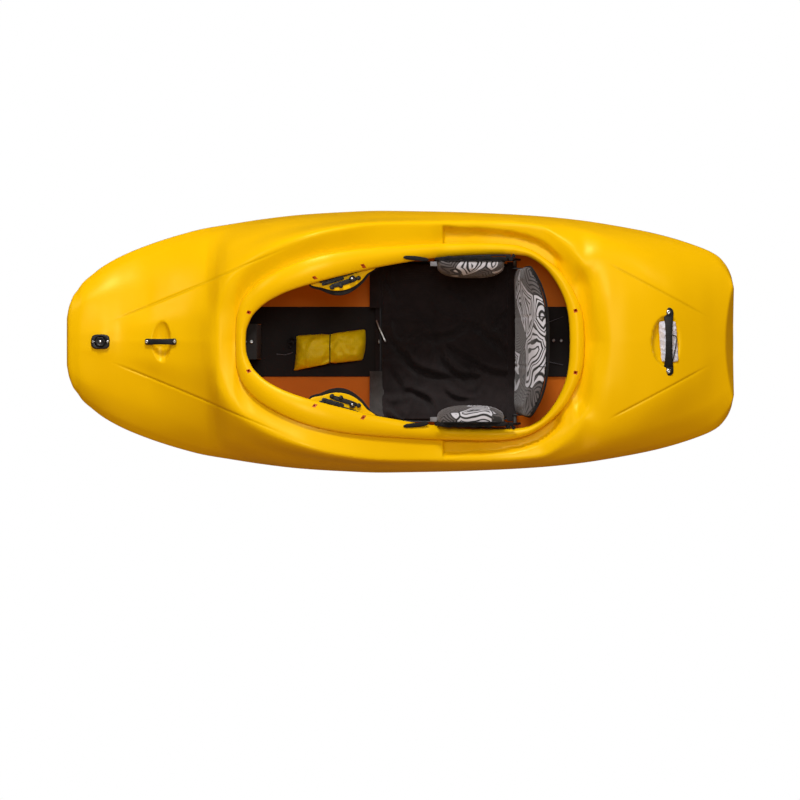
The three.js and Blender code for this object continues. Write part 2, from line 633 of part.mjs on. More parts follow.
// Hip recess beside the rim, open upwards
function recessSolid(side, grow) {
  const last = RECESS_OUTER_SHARES.length - 1;
  const from = stationX(RECESS_OUTER_SHARES[0][0]) - grow;
  const to = stationX(RECESS_OUTER_SHARES[last][0]) + grow;
  const spot = (u, v, up) => {
    const x = from + ((u + 1) / 2) * (to - from);
    const inner = outlineBreadth(RIM_OUTER_SHARES, shareAt(x)) - RIM_WALL * 2;
    const outer = (BEAM / 2) * readTable(RECESS_OUTER_SHARES, shareAt(x), 1);
    const y = inner + ((v + 1) / 2) * (outer - inner + grow);
    return [x, side * y, rimHeight(x) + up];
  };
  const geometry = sheetGeometry(
    last,
    1,
    (u, v) => spot(u, v, OVERRUN),
    (u, v) => spot(u, v, -RECESS_DEPTH - grow),
  );
  return solidOf(geometry);
}

// Side-view line of the seam between the two halves of the moulding
function seamBlock(offset, level) {
  const seam = STATION_SHARES.map((share) => [stationX(share), sheerHeight(share) + offset]);
  const first = seam[0];
  const last = seam[seam.length - 1];
  const profile = [
    [first[0] - OVERRUN, level], [first[0] - OVERRUN, first[1]], ...seam,
    [last[0] + OVERRUN, last[1]], [last[0] + OVERRUN, level],
  ];
  return sideProfileSolid(profile, -BEAM / 2 - OVERRUN, BEAM / 2 + OVERRUN);
}

// Outer and inner edge of the rim at a share along its half outline, on one side
function rimEdges(along, side) {
  const outer = [stationX(0) + readTable(rimOuterPath, along, 1), side * readTable(rimOuterPath, along, 2)];
  const inner = [stationX(0) + readTable(rimInnerPath, along, 1), side * readTable(rimInnerPath, along, 2)];
  return { outer, inner };
}

// Rim section as [across, up] for a rim of a width, counted from the outer edge and from its top
function rimSection(width) {
  const crown = [0.18, 0.5, 0.82].map((share) => [share * width, -RIM_CROWN * (2 * share - 1) ** 2]);
  const stem = RIM_STEM_SHARE * width;
  const under = -RIM_CROWN - RIM_WALL;
  return [
    [0, -RIM_LIP], [0, -RIM_CROWN], ...crown, [width, -RIM_CROWN], [width, -RIM_SKIRT],
    [width - RIM_WALL, -RIM_SKIRT], [width - RIM_WALL, under], [stem + RIM_WALL, under],
    [stem + RIM_WALL, -RIM_STEM_DEPTH], [stem, -RIM_STEM_DEPTH], [stem, under], [RIM_WALL, under],
    [RIM_WALL, -RIM_LIP],
  ];
}

// Moves the sides of a closed outline outwards by a distance
function growOutline(outline, distance) {
  const count = outline.length;
  const sideNormal = (a, b) => new THREE.Vector2(-(b[1] - a[1]), b[0] - a[0]).normalize();
  return outline.map((point, index) => {
    const before = sideNormal(outline[(index + count - 1) % count], point);
    const after = sideNormal(point, outline[(index + 1) % count]);
    const middle = before.clone().add(after).normalize();
    const reach = distance / Math.max(0.5, middle.dot(after));
    return [point[0] + middle.x * reach, point[1] + middle.y * reach];
  });
}

function rimSolid(grow) {
  const halfRow = Array.from({ length: RIM_STEPS + 1 }, (unused, step) => step / RIM_STEPS);
  const stations = [
    ...halfRow.map((along) => [along, 1]),
    ...halfRow.slice(1, -1).reverse().map((along) => [along, -1]),
  ];
  const sections = stations.map(([along, side]) => {
    const { outer, inner } = rimEdges(along, side);
    const width = Math.hypot(inner[0] - outer[0], inner[1] - outer[1]);
    return growOutline(rimSection(width), grow).map(([across, up]) => {
      const share = across / width;
      const x = outer[0] + (inner[0] - outer[0]) * share;
      const y = outer[1] + (inner[1] - outer[1]) * share;
      return [x, y, rimHeight(x) + up];
    });
  });
  return solidOf(ringGeometry(sections));
}

// Closed plan outline along the middle of the rim's stem
function stemPlan() {
  const starboard = [];
  for (let step = 0; step <= RIM_STEPS; step += 1) {
    const { outer, inner } = rimEdges(step / RIM_STEPS, 1);
    const width = Math.hypot(inner[0] - outer[0], inner[1] - outer[1]);
    const across = RIM_STEM_SHARE + RIM_WALL / 2 / width;
    starboard.push([outer[0] + (inner[0] - outer[0]) * across, outer[1] + (inner[1] - outer[1]) * across]);
  }
  const port = starboard.slice(1, -1).reverse().map(([x, y]) => [x, -y]);
  return [...starboard, ...port];
}

function lacingHoles() {
  return LACING_SHARES.flatMap(([along, across]) => [1, -1].map((side) => {
    const { outer, inner } = rimEdges(along, side);
    const x = outer[0] + (inner[0] - outer[0]) * across;
    const y = outer[1] + (inner[1] - outer[1]) * across;
    return postSolid(LACING_HOLE_RADIUS, rimHeight(x) - RIM_SKIRT, rimHeight(x) + OVERRUN, x, y, HOLE_SIDES);
  })).reduce((all, hole) => all.add(hole));
}

// Materials, one for each finish
function finish(color, roughness, metalness) {
  return () => new THREE.MeshStandardMaterial({ color, roughness, metalness });
}
const yellowPlastic = finish(0xf9b404, 0.36, 0);
const blackPlastic = finish(0x17171a, 0.5, 0);
const blackFoam = finish(0x1d1a18, 0.9, 0);
const blackFabric = finish(0x100f12, 0.95, 0);
const patternFabric = finish(0x77757a, 0.85, 0);
const bagFabric = finish(0xdccb1e, 0.6, 0);
const tagFabric = finish(0xe4e4e6, 0.5, 0);
const blackRubber = finish(0x141414, 0.7, 0);
const greyCord = finish(0x3a3a3e, 0.8, 0);
const steel = finish(0xb9bcc0, 0.3, 1);

const kayak = new THREE.Group();

function addPart(name, solid, material) {
  const mesh = new THREE.Mesh(geometryOf(solid), material());
  mesh.name = name;
  kayak.add(mesh);
}

const sides = [['starboard', 1], ['port', -1]];
const ends = [['fore', -1], ['aft', 1]];

const innerSkin = skinSolid(WALL);
const fitOutside = skinSolid(-GAP);
const fitInside = skinSolid(WALL + GAP);
const rim = rimSolid(0);
const rimRoom = rimSolid(GAP);

// Drain plug: its housing lies on the foredeck, and its shank reaches through the deck
const drainX = stationX(DRAIN_PLACE_SHARE);
const drainTop = deckMiddle(DRAIN_PLACE_SHARE) + DRAIN_HOUSING_HEIGHT;
const sealRoom = DRAIN_SEAL_THICKNESS + 2 * GAP;
const shankRoom = DRAIN_SHANK_RADIUS + SHANK_CLEARANCE;
const sealReach = shankRoom + DRAIN_SEAL_THICKNESS;
const drainScrewPlace = DRAIN_HOUSING_LENGTH / 2 - 1.5 * DRAIN_SCREW_RADIUS;

function roundedPlan(x, length, width, corner) {
  const points = [];
  [[1, 1], [-1, 1], [-1, -1], [1, -1]].forEach(([alongSign, outSign], quarter) => {
    for (let step = 0; step <= 3; step += 1) {
      const turn = (Math.PI / 2) * (quarter + step / 3);
      const cx = x + alongSign * (length / 2 - corner);
      const cy = outSign * (width / 2 - corner);
      points.push([cx + corner * Math.cos(turn), cy + corner * Math.sin(turn)]);
    }
  });
  return points;
}

function drainHousing() {
  const plan = roundedPlan(drainX, DRAIN_HOUSING_LENGTH, DRAIN_HOUSING_WIDTH, DRAIN_HOUSING_CORNER);
  const rise = planSolid(plan, drainTop - DRAIN_HOUSING_HEIGHT - WALL, drainTop);
  const bore = postSolid(shankRoom, drainTop - OVERRUN, drainTop + OVERRUN, drainX, 0, ROUND_SIDES);
  const seat = postSolid(sealReach + GAP, drainTop - sealRoom, drainTop + OVERRUN, drainX, 0, ROUND_SIDES);
  return rise.subtract(fitOutside).subtract(bore).subtract(seat).subtract(fastenerHoles);
}

// Round knob with finger lobes, and its shank
function drainPlug() {
  const base = drainTop + GAP;
  const lobes = [];
  for (let step = 0; step < DRAIN_KNOB_LOBES * 4; step += 1) {
    const turn = (Math.PI * step) / (DRAIN_KNOB_LOBES * 2);
    const reach = DRAIN_KNOB_RADIUS * (1 - DRAIN_LOBE_SHARE * (1 - Math.cos(DRAIN_KNOB_LOBES * turn)));
    lobes.push([drainX + reach * Math.cos(turn), reach * Math.sin(turn)]);
  }
  const knob = planSolid(lobes, base, base + DRAIN_KNOB_HEIGHT);
  const low = drainTop - DRAIN_SHANK_LENGTH;
  return knob.add(postSolid(DRAIN_SHANK_RADIUS, low, base + DRAIN_KNOB_HEIGHT / 2, drainX, 0, ROUND_SIDES));
}

function drainStud() {
  const low = drainTop + DRAIN_KNOB_HEIGHT + 2 * GAP;
  return postSolid(DRAIN_STUD_RADIUS, low, low + DRAIN_STUD_HEIGHT, drainX, 0);
}

function drainSeal() {
  const low = drainTop - sealRoom + GAP;
  const ring = postSolid(sealReach - GAP, low, low + DRAIN_SEAL_THICKNESS, drainX, 0, ROUND_SIDES);
  return ring.subtract(postSolid(shankRoom, low - OVERRUN, low + OVERRUN, drainX, 0, ROUND_SIDES));
}

// Grip over a dish, arched between its two ends, along or across the boat
const bowBarX = stationX(BOW_BAR_PLACE_SHARE);
const handleX = stationX(HANDLE_PLACE_SHARE);

function bowBarTop(x) {
  const share = Math.abs(x - bowBarX) / (BOW_BAR_LENGTH / 2);
  const arch = Math.cos((Math.PI / 2) * Math.min(1, share)) ** 0.7;
  return deckMiddle(shareAt(x)) + BOW_BAR_THICKNESS + BOW_BAR_RISE * arch;
}

function bowBar() {
  const place = (u, v, drop) => {
    const x = bowBarX + (u * BOW_BAR_LENGTH) / 2;
    return [x, (v * BOW_BAR_WIDTH) / 2, bowBarTop(x) - drop - (v * v * BOW_BAR_THICKNESS) / 6];
  };
  const arch = sheetGeometry(14, 4, (u, v) => place(u, v, 0), (u, v) => place(u, v, BOW_BAR_THICKNESS));
  return solidOf(arch).subtract(fitOutside).subtract(fastenerHoles);
}

function handleTop(y) {
  const share = Math.min(1, Math.abs(y) / (HANDLE_SPAN / 2));
  const bend = Math.min(1, share / HANDLE_ARCH_SHARE);
  const arch = Math.max(0, Math.cos((Math.PI / 2) * bend)) ** 0.6;
  const droop = HANDLE_DROOP_SHARE * Math.abs(y);
  return deckMiddle(HANDLE_PLACE_SHARE) + HANDLE_THICKNESS + HANDLE_RISE * arch - droop;
}

function sternHandle() {
  const place = (u, v, drop) => {
    const y = (u * HANDLE_SPAN) / 2;
    const flare = Math.min(1, HANDLE_FLARE * Math.abs(u)) ** 3;
    const narrow = HANDLE_WAIST + (HANDLE_WIDTH - HANDLE_WAIST) * flare;
    return [handleX + (v * narrow) / 2, y, handleTop(y) - drop];
  };
  const arch = sheetGeometry(24, 4, (u, v) => place(u, v, 0), (u, v) => place(u, v, HANDLE_THICKNESS));
  return solidOf(arch).subtract(fitOutside).subtract(fastenerHoles);
}

// Fastener places: [name, x, y, height of the seat, head radius, head height, shank radius]
const barScrewReach = BOW_BAR_LENGTH / 2 - SCREW_HEAD_RADIUS - 1.5 * SHANK_CLEARANCE;
const handleBoltReach = HANDLE_SPAN / 2 - 2 * BOLT_HEAD_RADIUS;
const screwSizes = [SCREW_HEAD_RADIUS, SCREW_HEAD_HEIGHT, SCREW_SHANK_RADIUS];
const drainScrewSizes = [DRAIN_SCREW_RADIUS, DRAIN_SCREW_RADIUS / 2, SCREW_SHANK_RADIUS / 2];
const boltSizes = [BOLT_HEAD_RADIUS, BOLT_HEAD_HEIGHT, BOLT_SHANK_RADIUS];
const fasteners = [
  ...ends.map(([end, sign]) => [
    `drain_housing_screw_${end}`, drainX + sign * drainScrewPlace, 0, drainTop, ...drainScrewSizes,
  ]),
  ...ends.map(([end, sign]) => {
    const x = bowBarX + sign * barScrewReach;
    const seat = Math.max(bowBarTop(x - SCREW_HEAD_RADIUS), bowBarTop(x + SCREW_HEAD_RADIUS));
    return [`bow_bar_screw_${end}`, x, 0, seat, ...screwSizes];
  }),
  ...sides.map(([side, sign]) => {
    const y = sign * handleBoltReach;
    const seat = handleTop(Math.abs(y) - BOLT_HEAD_RADIUS);
    return [`stern_handle_bolt_${side}`, handleX, y, seat, ...boltSizes];
  }),
];
const shankDepth = Math.max(HANDLE_THICKNESS, DRAIN_HOUSING_HEIGHT) + WALL + SHANK_BEYOND;
const fastenerHoles = shankRoomSolid(SHANK_CLEARANCE);

// Upright room around every fastener's shank
function shankRoomSolid(clearance) {
  const room = ([, x, y, z, , , shank]) => {
    return postSolid(shank + clearance, z - OVERRUN, z + OVERRUN, x, y, HOLE_SIDES);
  };
  return fasteners.map(room).reduce((all, post) => all.add(post));
}

function addFasteners() {
  fasteners.forEach(([name, x, y, z, headRadius, headHeight, shankRadius]) => {
    addPart(name, fastenerSolid(headRadius, headHeight, shankRadius, shankDepth, [x, y, z + GAP]), steel);
  });
}

// Moulded shell in two halves along its seam, and the rim
function addShell() {
  const shell = skinSolid(0).subtract(innerSkin);
  const hull = shell.intersect(seamBlock(-GAP / 2, -OVERRUN));
  const opening = planSolid(stemPlan(), 0, HEIGHT + OVERRUN);
  const drainBore = postSolid(shankRoom, 0, HEIGHT, drainX, 0, ROUND_SIDES);
  const deck = shell.intersect(seamBlock(GAP / 2, HEIGHT + OVERRUN))
    .subtract(opening)
    .subtract(rimRoom)
    .subtract(drainBore)
    .subtract(fastenerHoles);
  addPart('hull', hull, yellowPlastic);
  addPart('deck', deck, yellowPlastic);
  addPart('cockpit_rim', rim.subtract(lacingHoles()), yellowPlastic);
}

// Foam pillars, foot blocks and mats, cut to the inside of the shell
const shankRooms = shankRoomSolid(2 * SHANK_CLEARANCE);

function pillarSolid(from, to) {
  const block = boxSolid([from, -PILLAR_WIDTH / 2, 0], [to, PILLAR_WIDTH / 2, HEIGHT]);
  return block.intersect(fitInside).subtract(rimRoom).subtract(shankRooms);
}

const frontPillarBack = stationX(PILLAR_BACK_SHARE);
const pillarShelf = rimHeight(frontPillarBack) - RIM_STEM_DEPTH - WALL;

function frontPillar() {
  const low = [frontPillarBack - PILLAR_WIDTH / 2, -PILLAR_WIDTH, pillarShelf];
  const high = [frontPillarBack + OVERRUN, PILLAR_WIDTH, HEIGHT + OVERRUN];
  return pillarSolid(stationX(PILLAR_FRONT_SHARE), frontPillarBack).subtract(boxSolid(low, high));
}

function floorMat(from, to) {
  const top = (u, v) => {
    const x = from + ((u + 1) / 2) * (to - from);
    return [x, (v * FLOOR_MAT_WIDTH) / 2, floorHeight(x) + FLOOR_MAT_THICKNESS];
  };
  const bottom = (u, v) => {
    const [x, y, z] = top(u, v);
    return [x, y, z - FLOOR_MAT_THICKNESS - WALL];
  };
  return solidOf(sheetGeometry(12, 1, top, bottom)).intersect(fitInside);
}

function footBlock(sign) {
  const x = stationX(FOOT_BLOCK_PLACE_SHARE);
  const near = PILLAR_WIDTH / 2 + GAP;
  const [from, to] = [sign * near, sign * FOOT_BLOCK_REACH].sort((a, b) => a - b);
  const half = FOOT_BLOCK_LENGTH / 2;
  return boxSolid([x - half, from, 0], [x + half, to, HEIGHT * FOOT_BLOCK_TOP_SHARE]).intersect(fitInside);
}

function addFoam() {
  const rearPillar = pillarSolid(stationX(REAR_PILLAR_FRONT_SHARE), stationX(REAR_PILLAR_BACK_SHARE));
  const frontMat = floorMat(frontPillarBack + GAP, stationX(FRONT_MAT_BACK_SHARE));
  const rearMat = floorMat(stationX(REAR_MAT_FRONT_SHARE), stationX(REAR_MAT_BACK_SHARE));
  addPart('front_pillar', frontPillar(), blackFoam);
  addPart('rear_pillar', rearPillar, blackFoam);
  addPart('floor_mat_front', frontMat, blackFoam);
  addPart('floor_mat_rear', rearMat, blackFoam);
  sides.forEach(([side, sign]) => addPart(`foot_block_${side}`, footBlock(sign), blackFoam));
  const rimFront = stationX(RIM_OUTER_SHARES[0][0]);
  const stemPlace = rimFront + RIM_STEM_SHARE * (stationX(RIM_INNER_SHARES[0][0]) - rimFront);
  const foreBolt = stemPlace + RIM_WALL + PILLAR_BOLT_CLEARANCE + PILLAR_BOLT_RADIUS;
  ends.forEach(([end], index) => {
    const place = [foreBolt + index * PILLAR_BOLT_SPACING, 0, pillarShelf + GAP];
    const head = fastenerSolid(PILLAR_BOLT_RADIUS, BOLT_HEAD_HEIGHT, BOLT_SHANK_RADIUS, 0, place);
    addPart(`pillar_bolt_${end}`, head, steel);
  });
}

// Seat: a bucket-shaped pan on two rails, with a cushion that has sewn channels
const seatFront = stationX(SEAT_FRONT_PLACE_SHARE);
const seatMiddle = seatFront + SEAT_LENGTH / 2;
const rimReach = (Math.max(...RIM_INNER_SHARES.map(([, out]) => out)) * BEAM) / 2;
const rimLowest = HEIGHT * Math.min(...RIM_HEIGHT_SHARES.map(([, up]) => up));
const seatWidth = 2 * (rimReach - SEAT_SIDE_CLEARANCE);
const panTop = RAIL_TOP + GAP + PAN_WALL;

function seatSurface(x, y) {
  const beyond = Math.max(0, Math.abs(y) - BUCKET_FLAT) / (seatWidth / 2 - BUCKET_FLAT);
  const ahead = Math.max(0, (seatFront + RAIL_MARGIN * 2 - x) / (RAIL_MARGIN * 2));
  return panTop + BUCKET_RISE * beyond ** 1.6 + SEAT_FRONT_RISE * ahead ** 1.5;
}

function seatPlace(u, v) {
  const corner = 1 - SEAT_CORNER_SHARE * Math.abs(u) ** 6;
  return [seatMiddle + (u * SEAT_LENGTH) / 2, (v * corner * seatWidth) / 2];
}

function seatPan() {
  const upper = (u, v) => {
    const [x, y] = seatPlace(u, v);
    return [x, y, seatSurface(x, y)];
  };
  const lower = (u, v) => {
    const [x, y, z] = upper(u, v);
    return [x, y, z - PAN_WALL];
  };
  return solidOf(sheetGeometry(SEAT_STEPS, SEAT_STEPS, upper, lower));
}

// Depth of the sewn channels that lie at a share on each side of the middle
function channelAt(u, place, width) {
  return CHANNEL_DEPTH * Math.exp(-(((Math.abs(u) - place) / width) ** 2));
}

function seatCushion() {
  const steps = SEAT_STEPS - 2;
  const trim = steps / SEAT_STEPS;
  const lower = (u, v) => {
    const [x, y] = seatPlace(u * trim, v * trim);
    return [x, y, seatSurface(x, y) + GAP];
  };
  const upper = (u, v) => {
    const [x, y, z] = lower(u, v);
    const crown = ((1 - u ** 4) * (1 - v ** 6)) ** 0.5;
    const channel = channelAt(u, CHANNEL_PLACE_SHARE, CHANNEL_WIDTH_SHARE);
    return [x, y, z + CUSHION_EDGE + (CUSHION_THICKNESS - CUSHION_EDGE - channel) * crown];
  };
  return solidOf(sheetGeometry(steps, steps, upper, lower));
}

function seatRail(sign) {
  const y = (sign * RAIL_SPACING) / 2;
  const low = [seatFront + RAIL_MARGIN, y - RAIL_WIDTH / 2, 0];
  const high = [seatFront + SEAT_LENGTH - RAIL_MARGIN, y + RAIL_WIDTH / 2, RAIL_TOP];
  return boxSolid(low, high).intersect(fitInside);
}

function seatStrap() {
  const x = seatFront - GAP;
  const base = seatSurface(seatFront, 0) - PAN_WALL;
  const low = [x - STRAP_THICKNESS, -STRAP_WIDTH / 2, base];
  return boxSolid(low, [x, STRAP_WIDTH / 2, base + STRAP_LENGTH]);
}

// Hip plate: an upright board beside the pan that also carries the backband's pin
const bandFront = stationX(BAND_PLACE_SHARE);
const bandWidth = seatWidth - 2 * BAND_SIDE_CLEARANCE;
const pinX = bandFront + PIN_HEAD_RADIUS;
const pinZ = BAND_BASE + PIN_HEAD_RADIUS * 1.5;
const hipPlateBack = pinX + HIP_PLATE_BACK_MARGIN;
const hipPlateFront = hipPlateBack - HIP_PLATE_LENGTH;
const hipPlateTop = rimLowest - HIP_PLATE_DROP;
const hipPadTopFront = rimLowest + HIP_PAD_RISE_FRONT;
const hipPadTopBack = rimLowest + HIP_PAD_RISE_BACK;

function hipPlate(sign) {
  const back = hipPlateBack;
  const profile = [
    [hipPlateFront, HIP_PLATE_BASE], [back - HIP_PLATE_LENGTH / 4, HIP_PLATE_BASE],
    [back, pinZ - PIN_HEAD_RADIUS * 2], [back, pinZ + PIN_HEAD_RADIUS * 2],
    [back - HIP_PLATE_LENGTH / 5, hipPlateTop - PIN_HEAD_RADIUS],
    [back - HIP_PLATE_LENGTH / 4, hipPlateTop],
    [hipPlateFront + HIP_PLATE_THICKNESS, hipPlateTop],
    [hipPlateFront, hipPlateTop - HIP_PLATE_THICKNESS],
  ];
  const near = seatWidth / 2 + GAP;
  const far = near + HIP_PLATE_THICKNESS;
  const [from, to] = [sign * near, sign * far].sort((a, b) => a - b);
  return sideProfileSolid(profile, from, to).subtract(pinHole(sign));
}

// Round solid lying across the boat from a profile of [radius, breadth]
function crossTurned(profile, x, z) {
  const geometry = new THREE.LatheGeometry(profile.map(([r, y]) => new THREE.Vector2(r, y)), ROUND_SIDES);
  geometry.translate(x, 0, z);
  return solidOf(geometry);
}

function pinHole(sign) {
  const radius = PIN_RADIUS + GAP;
  const near = sign * (seatWidth / 2 - OVERRUN / 2);
  const far = sign * (seatWidth / 2 + OVERRUN / 2);
  return crossTurned([[0, near], [radius, near], [radius, far], [0, far]], pinX, pinZ);
}

function backbandPin(sign) {
  const inner = sign * (bandWidth / 2 + GAP);
  const plate = sign * (seatWidth / 2 + GAP + HIP_PLATE_THICKNESS + GAP);
  const outer = plate + sign * PIN_HEAD_HEIGHT;
  const profile = [
    [0, inner], [PIN_RADIUS, inner], [PIN_RADIUS, plate], [PIN_HEAD_RADIUS, plate],
    [PIN_HEAD_RADIUS, outer], [0, outer],
  ];
  return crossTurned(profile, pinX, pinZ);
}

// Hip pad: a crowned cushion on the inner face of its plate, standing above the rim
function hipPad(sign) {
  const outer = seatWidth / 2 - GAP;
  const frontX = hipPlateFront + HIP_PLATE_THICKNESS;
  const lengthAt = (v) => HIP_PAD_LENGTH * (1 - HIP_PAD_TAPER_SHARE * Math.abs(v) ** 4);
  const spot = (u, v) => {
    const x = frontX + HIP_PAD_LENGTH / 2 + (u * lengthAt(v)) / 2;
    const top = hipPadTopFront + (hipPadTopBack - hipPadTopFront) * ((u + 1) / 2) ** 1.2;
    const rounded = top - HIP_PAD_CORNER_DROP * u ** 6;
    return [x, HIP_PAD_BASE + (rounded - HIP_PAD_BASE) * ((v + 1) / 2)];
  };
  const back = (u, v) => {
    const [x, z] = spot(u, v);
    return [x, sign * outer, z];
  };
  const front = (u, v) => {
    const [x, z] = spot(u, v);
    const crown = ((1 - u ** 4) * (1 - v ** 4)) ** 0.5;
    return [x, sign * (outer - HIP_PAD_EDGE - (HIP_PAD_THICKNESS - HIP_PAD_EDGE) * crown), z];
  };
  return solidOf(sheetGeometry(12, 10, front, back));
}

// Backband: a stiff curved plate with a padded front
function bandPlace(u, v) {
  const lean = BAND_END_LEAN + (BAND_LEAN - BAND_END_LEAN) * (1 - u ** 2);
  const top = rimLowest + BAND_RISE - BAND_END_DROP * u ** 4;
  const up = (v + 1) / 2;
  return [bandFront + lean * up, (u * bandWidth) / 2, BAND_BASE + (top - BAND_BASE) * up];
}

function shiftedAft(point, distance) {
  return [point[0] + distance, point[1], point[2]];
}

function backbandPad() {
  const edge = BAND_PAD_THICKNESS - BAND_PAD_EDGE;
  const front = (u, v) => {
    const crown = ((1 - u ** 6) * (1 - v ** 6)) ** 0.5;
    const seam = channelAt(u, BAND_SEAM_PLACE_SHARE, BAND_SEAM_WIDTH_SHARE);
    return shiftedAft(bandPlace(u, v), edge * (1 - crown) + seam * crown);
  };
  const back = (u, v) => shiftedAft(bandPlace(u, v), BAND_PAD_THICKNESS);
  return solidOf(sheetGeometry(BAND_COLUMNS, BAND_ROWS, front, back));
}

function backbandShell() {
  const near = BAND_PAD_THICKNESS + GAP;
  const front = (u, v) => shiftedAft(bandPlace(u, v), near);
  const back = (u, v) => shiftedAft(bandPlace(u, v), near + BAND_SHELL_THICKNESS);
  const plate = solidOf(sheetGeometry(BAND_COLUMNS, BAND_ROWS, front, back));
  return sides.reduce((all, [, sign]) => all.add(shellEar(sign, near)), plate);
}

// Ear that reaches forward from the end of the plate to the pin
function shellEar(sign, near) {
  const outer = bandWidth / 2;
  const inner = outer - BAND_SHELL_THICKNESS;
  const [from, to] = [sign * inner, sign * outer].sort((a, b) => a - b);
  const back = bandFront + near + BAND_SHELL_THICKNESS;
  return boxSolid([bandFront, from, pinZ - PIN_HEAD_RADIUS], [back, to, pinZ + PIN_HEAD_RADIUS]);
}

function addSeat() {
  sides.forEach(([side, sign]) => addPart(`seat_rail_${side}`, seatRail(sign), blackPlastic));
  const ears = sides.map(([, sign]) => earRoom(sign)).reduce((all, room) => all.add(room));
  addPart('seat_pan', seatPan(), blackPlastic);
  addPart('seat_cushion', seatCushion(), blackFabric);
  addPart('seat_strap', seatStrap(), steel);
  addPart('backband_shell', backbandShell(), blackPlastic);
  addPart('backband_pad', backbandPad().subtract(ears), patternFabric);
  sides.forEach(([side, sign]) => {
    addPart(`hip_plate_${side}`, hipPlate(sign), blackPlastic);
    addPart(`hip_pad_${side}`, hipPad(sign), patternFabric);
    addPart(`backband_pin_${side}`, backbandPin(sign), steel);
  });
}

// Room for an ear in the end of the padded front
function earRoom(sign) {
  const near = bandWidth / 2 - BAND_SHELL_THICKNESS - GAP;
  const far = bandWidth / 2 + OVERRUN;
  const [from, to] = [sign * near, sign * far].sort((a, b) => a - b);
  const reach = PIN_HEAD_RADIUS + GAP;
  return boxSolid([bandFront - OVERRUN, from, pinZ - reach], [bandFront + OVERRUN, to, pinZ + reach]);
}

// Thigh brace: a hooked plate that slides on a straight track under the rim's inner edge
const trackX = stationX(TRACK_PLACE_SHARE);
const trackY = outlineBreadth(RIM_INNER_SHARES, TRACK_PLACE_SHARE) + TRACK_WIDTH / 4;
const trackBase = rimHeight(trackX) - RIM_SKIRT - TRACK_THICKNESS;
const braceTop = trackBase - GAP;

// Point of a brace from shares along and inward, both of the track's length, at a height over its plane
function bracePoint(along, inward, lift, sign) {
  const dx = along * TRACK_LENGTH;
  const x = trackX + dx + inward * TRACK_LENGTH * BRACE_SKEW;
  const y = trackY + dx * BRACE_SKEW - inward * TRACK_LENGTH;
  return [x, sign * y, braceTop + lift + (x - trackX) * BRACE_SLOPE];
}

// Plate between two heights over the braces' sloping plane
function braceSolid(shares, high, low, sign) {
  const outline = shares.map(([along, inward]) => bracePoint(along, inward, 0, sign));
  const shape = new THREE.Shape(outline.map(([x, y]) => new THREE.Vector2(x, y)));
  const geometry = new THREE.ExtrudeGeometry(shape, { depth: high - low, bevelEnabled: false });
  const place = geometry.getAttribute('position');
  for (let index = 0; index < place.count; index += 1) {
    const lift = braceTop + low + (place.getX(index) - trackX) * BRACE_SLOPE;
    place.setZ(index, place.getZ(index) + lift);
  }
  return solidOf(geometry);
}

function braceTrack(sign) {
  const share = TRACK_WIDTH / 2 / TRACK_LENGTH;
  const outline = [[-0.5, share], [0.5, share], [0.5, -share], [-0.5, -share]];
  return braceSolid(outline, TRACK_THICKNESS + RIM_WALL, GAP, sign).subtract(rimRoom);
}

function braceKnob(sign) {
  const [x, y, z] = bracePoint(KNOB_AFT / TRACK_LENGTH, KNOB_OFFSET / TRACK_LENGTH, 0, sign);
  const lean = GAP - BRACE_SLOPE * KNOB_RADIUS;
  return postSolid(KNOB_RADIUS, z + lean, z + lean + KNOB_HEIGHT, x, y, ROUND_SIDES);
}

function braceStud(sign) {
  const [x, y, z] = bracePoint(KNOB_AFT / TRACK_LENGTH, KNOB_OFFSET / TRACK_LENGTH, 0, sign);
  const low = z + 2 * GAP - BRACE_SLOPE * KNOB_RADIUS + KNOB_HEIGHT;
  return postSolid(KNOB_STUD_RADIUS, low, low + KNOB_STUD_HEIGHT, x, y);
}

function addThighBraces() {
  const padTop = -BRACE_THICKNESS - GAP;
  sides.forEach(([side, sign]) => {
    addPart(`thigh_brace_track_${side}`, braceTrack(sign), blackPlastic);
    const plate = braceSolid(BRACE_OUTLINE_SHARES, 0, -BRACE_THICKNESS, sign);
    addPart(`thigh_brace_${side}`, plate, yellowPlastic);
    const pad = braceSolid(BRACE_PAD_OUTLINE_SHARES, padTop, padTop - BRACE_PAD_THICKNESS, sign);
    addPart(`thigh_brace_pad_${side}`, pad, blackFoam);
    addPart(`thigh_brace_knob_${side}`, braceKnob(sign), blackPlastic);
    addPart(`thigh_brace_stud_${side}`, braceStud(sign), steel);
  });
}

// Kit bag lying on the mat, with an elastic over it
const bagX = stationX(BAG_PLACE_SHARE);
const bagY = (BAG_SIDE_SHARE * BEAM) / 2;
const bagFloor = floorHeight(bagX) + FLOOR_MAT_THICKNESS + GAP;

function bagTop(u, v) {
  return BAG_EDGE + (BAG_THICKNESS - BAG_EDGE) * ((1 - u ** 6) * (1 - v ** 4)) ** 0.6;
}

function bagPlace(u, v, up) {
  const x = (u * BAG_LENGTH) / 2;
  const y = (v * BAG_WIDTH * (1 - BAG_WAIST_SHARE * (1 - u ** 2))) / 2;
  const turnedX = x * Math.cos(BAG_TURN) - y * Math.sin(BAG_TURN);
  const turnedY = x * Math.sin(BAG_TURN) + y * Math.cos(BAG_TURN);
  return [bagX + turnedX, bagY + turnedY, bagFloor + up];
}

function kitBag() {
  const top = (u, v) => bagPlace(u, v, bagTop(u, v));
  return solidOf(sheetGeometry(BAG_COLUMNS, BAG_ROWS, top, (u, v) => bagPlace(u, v, 0)));
}

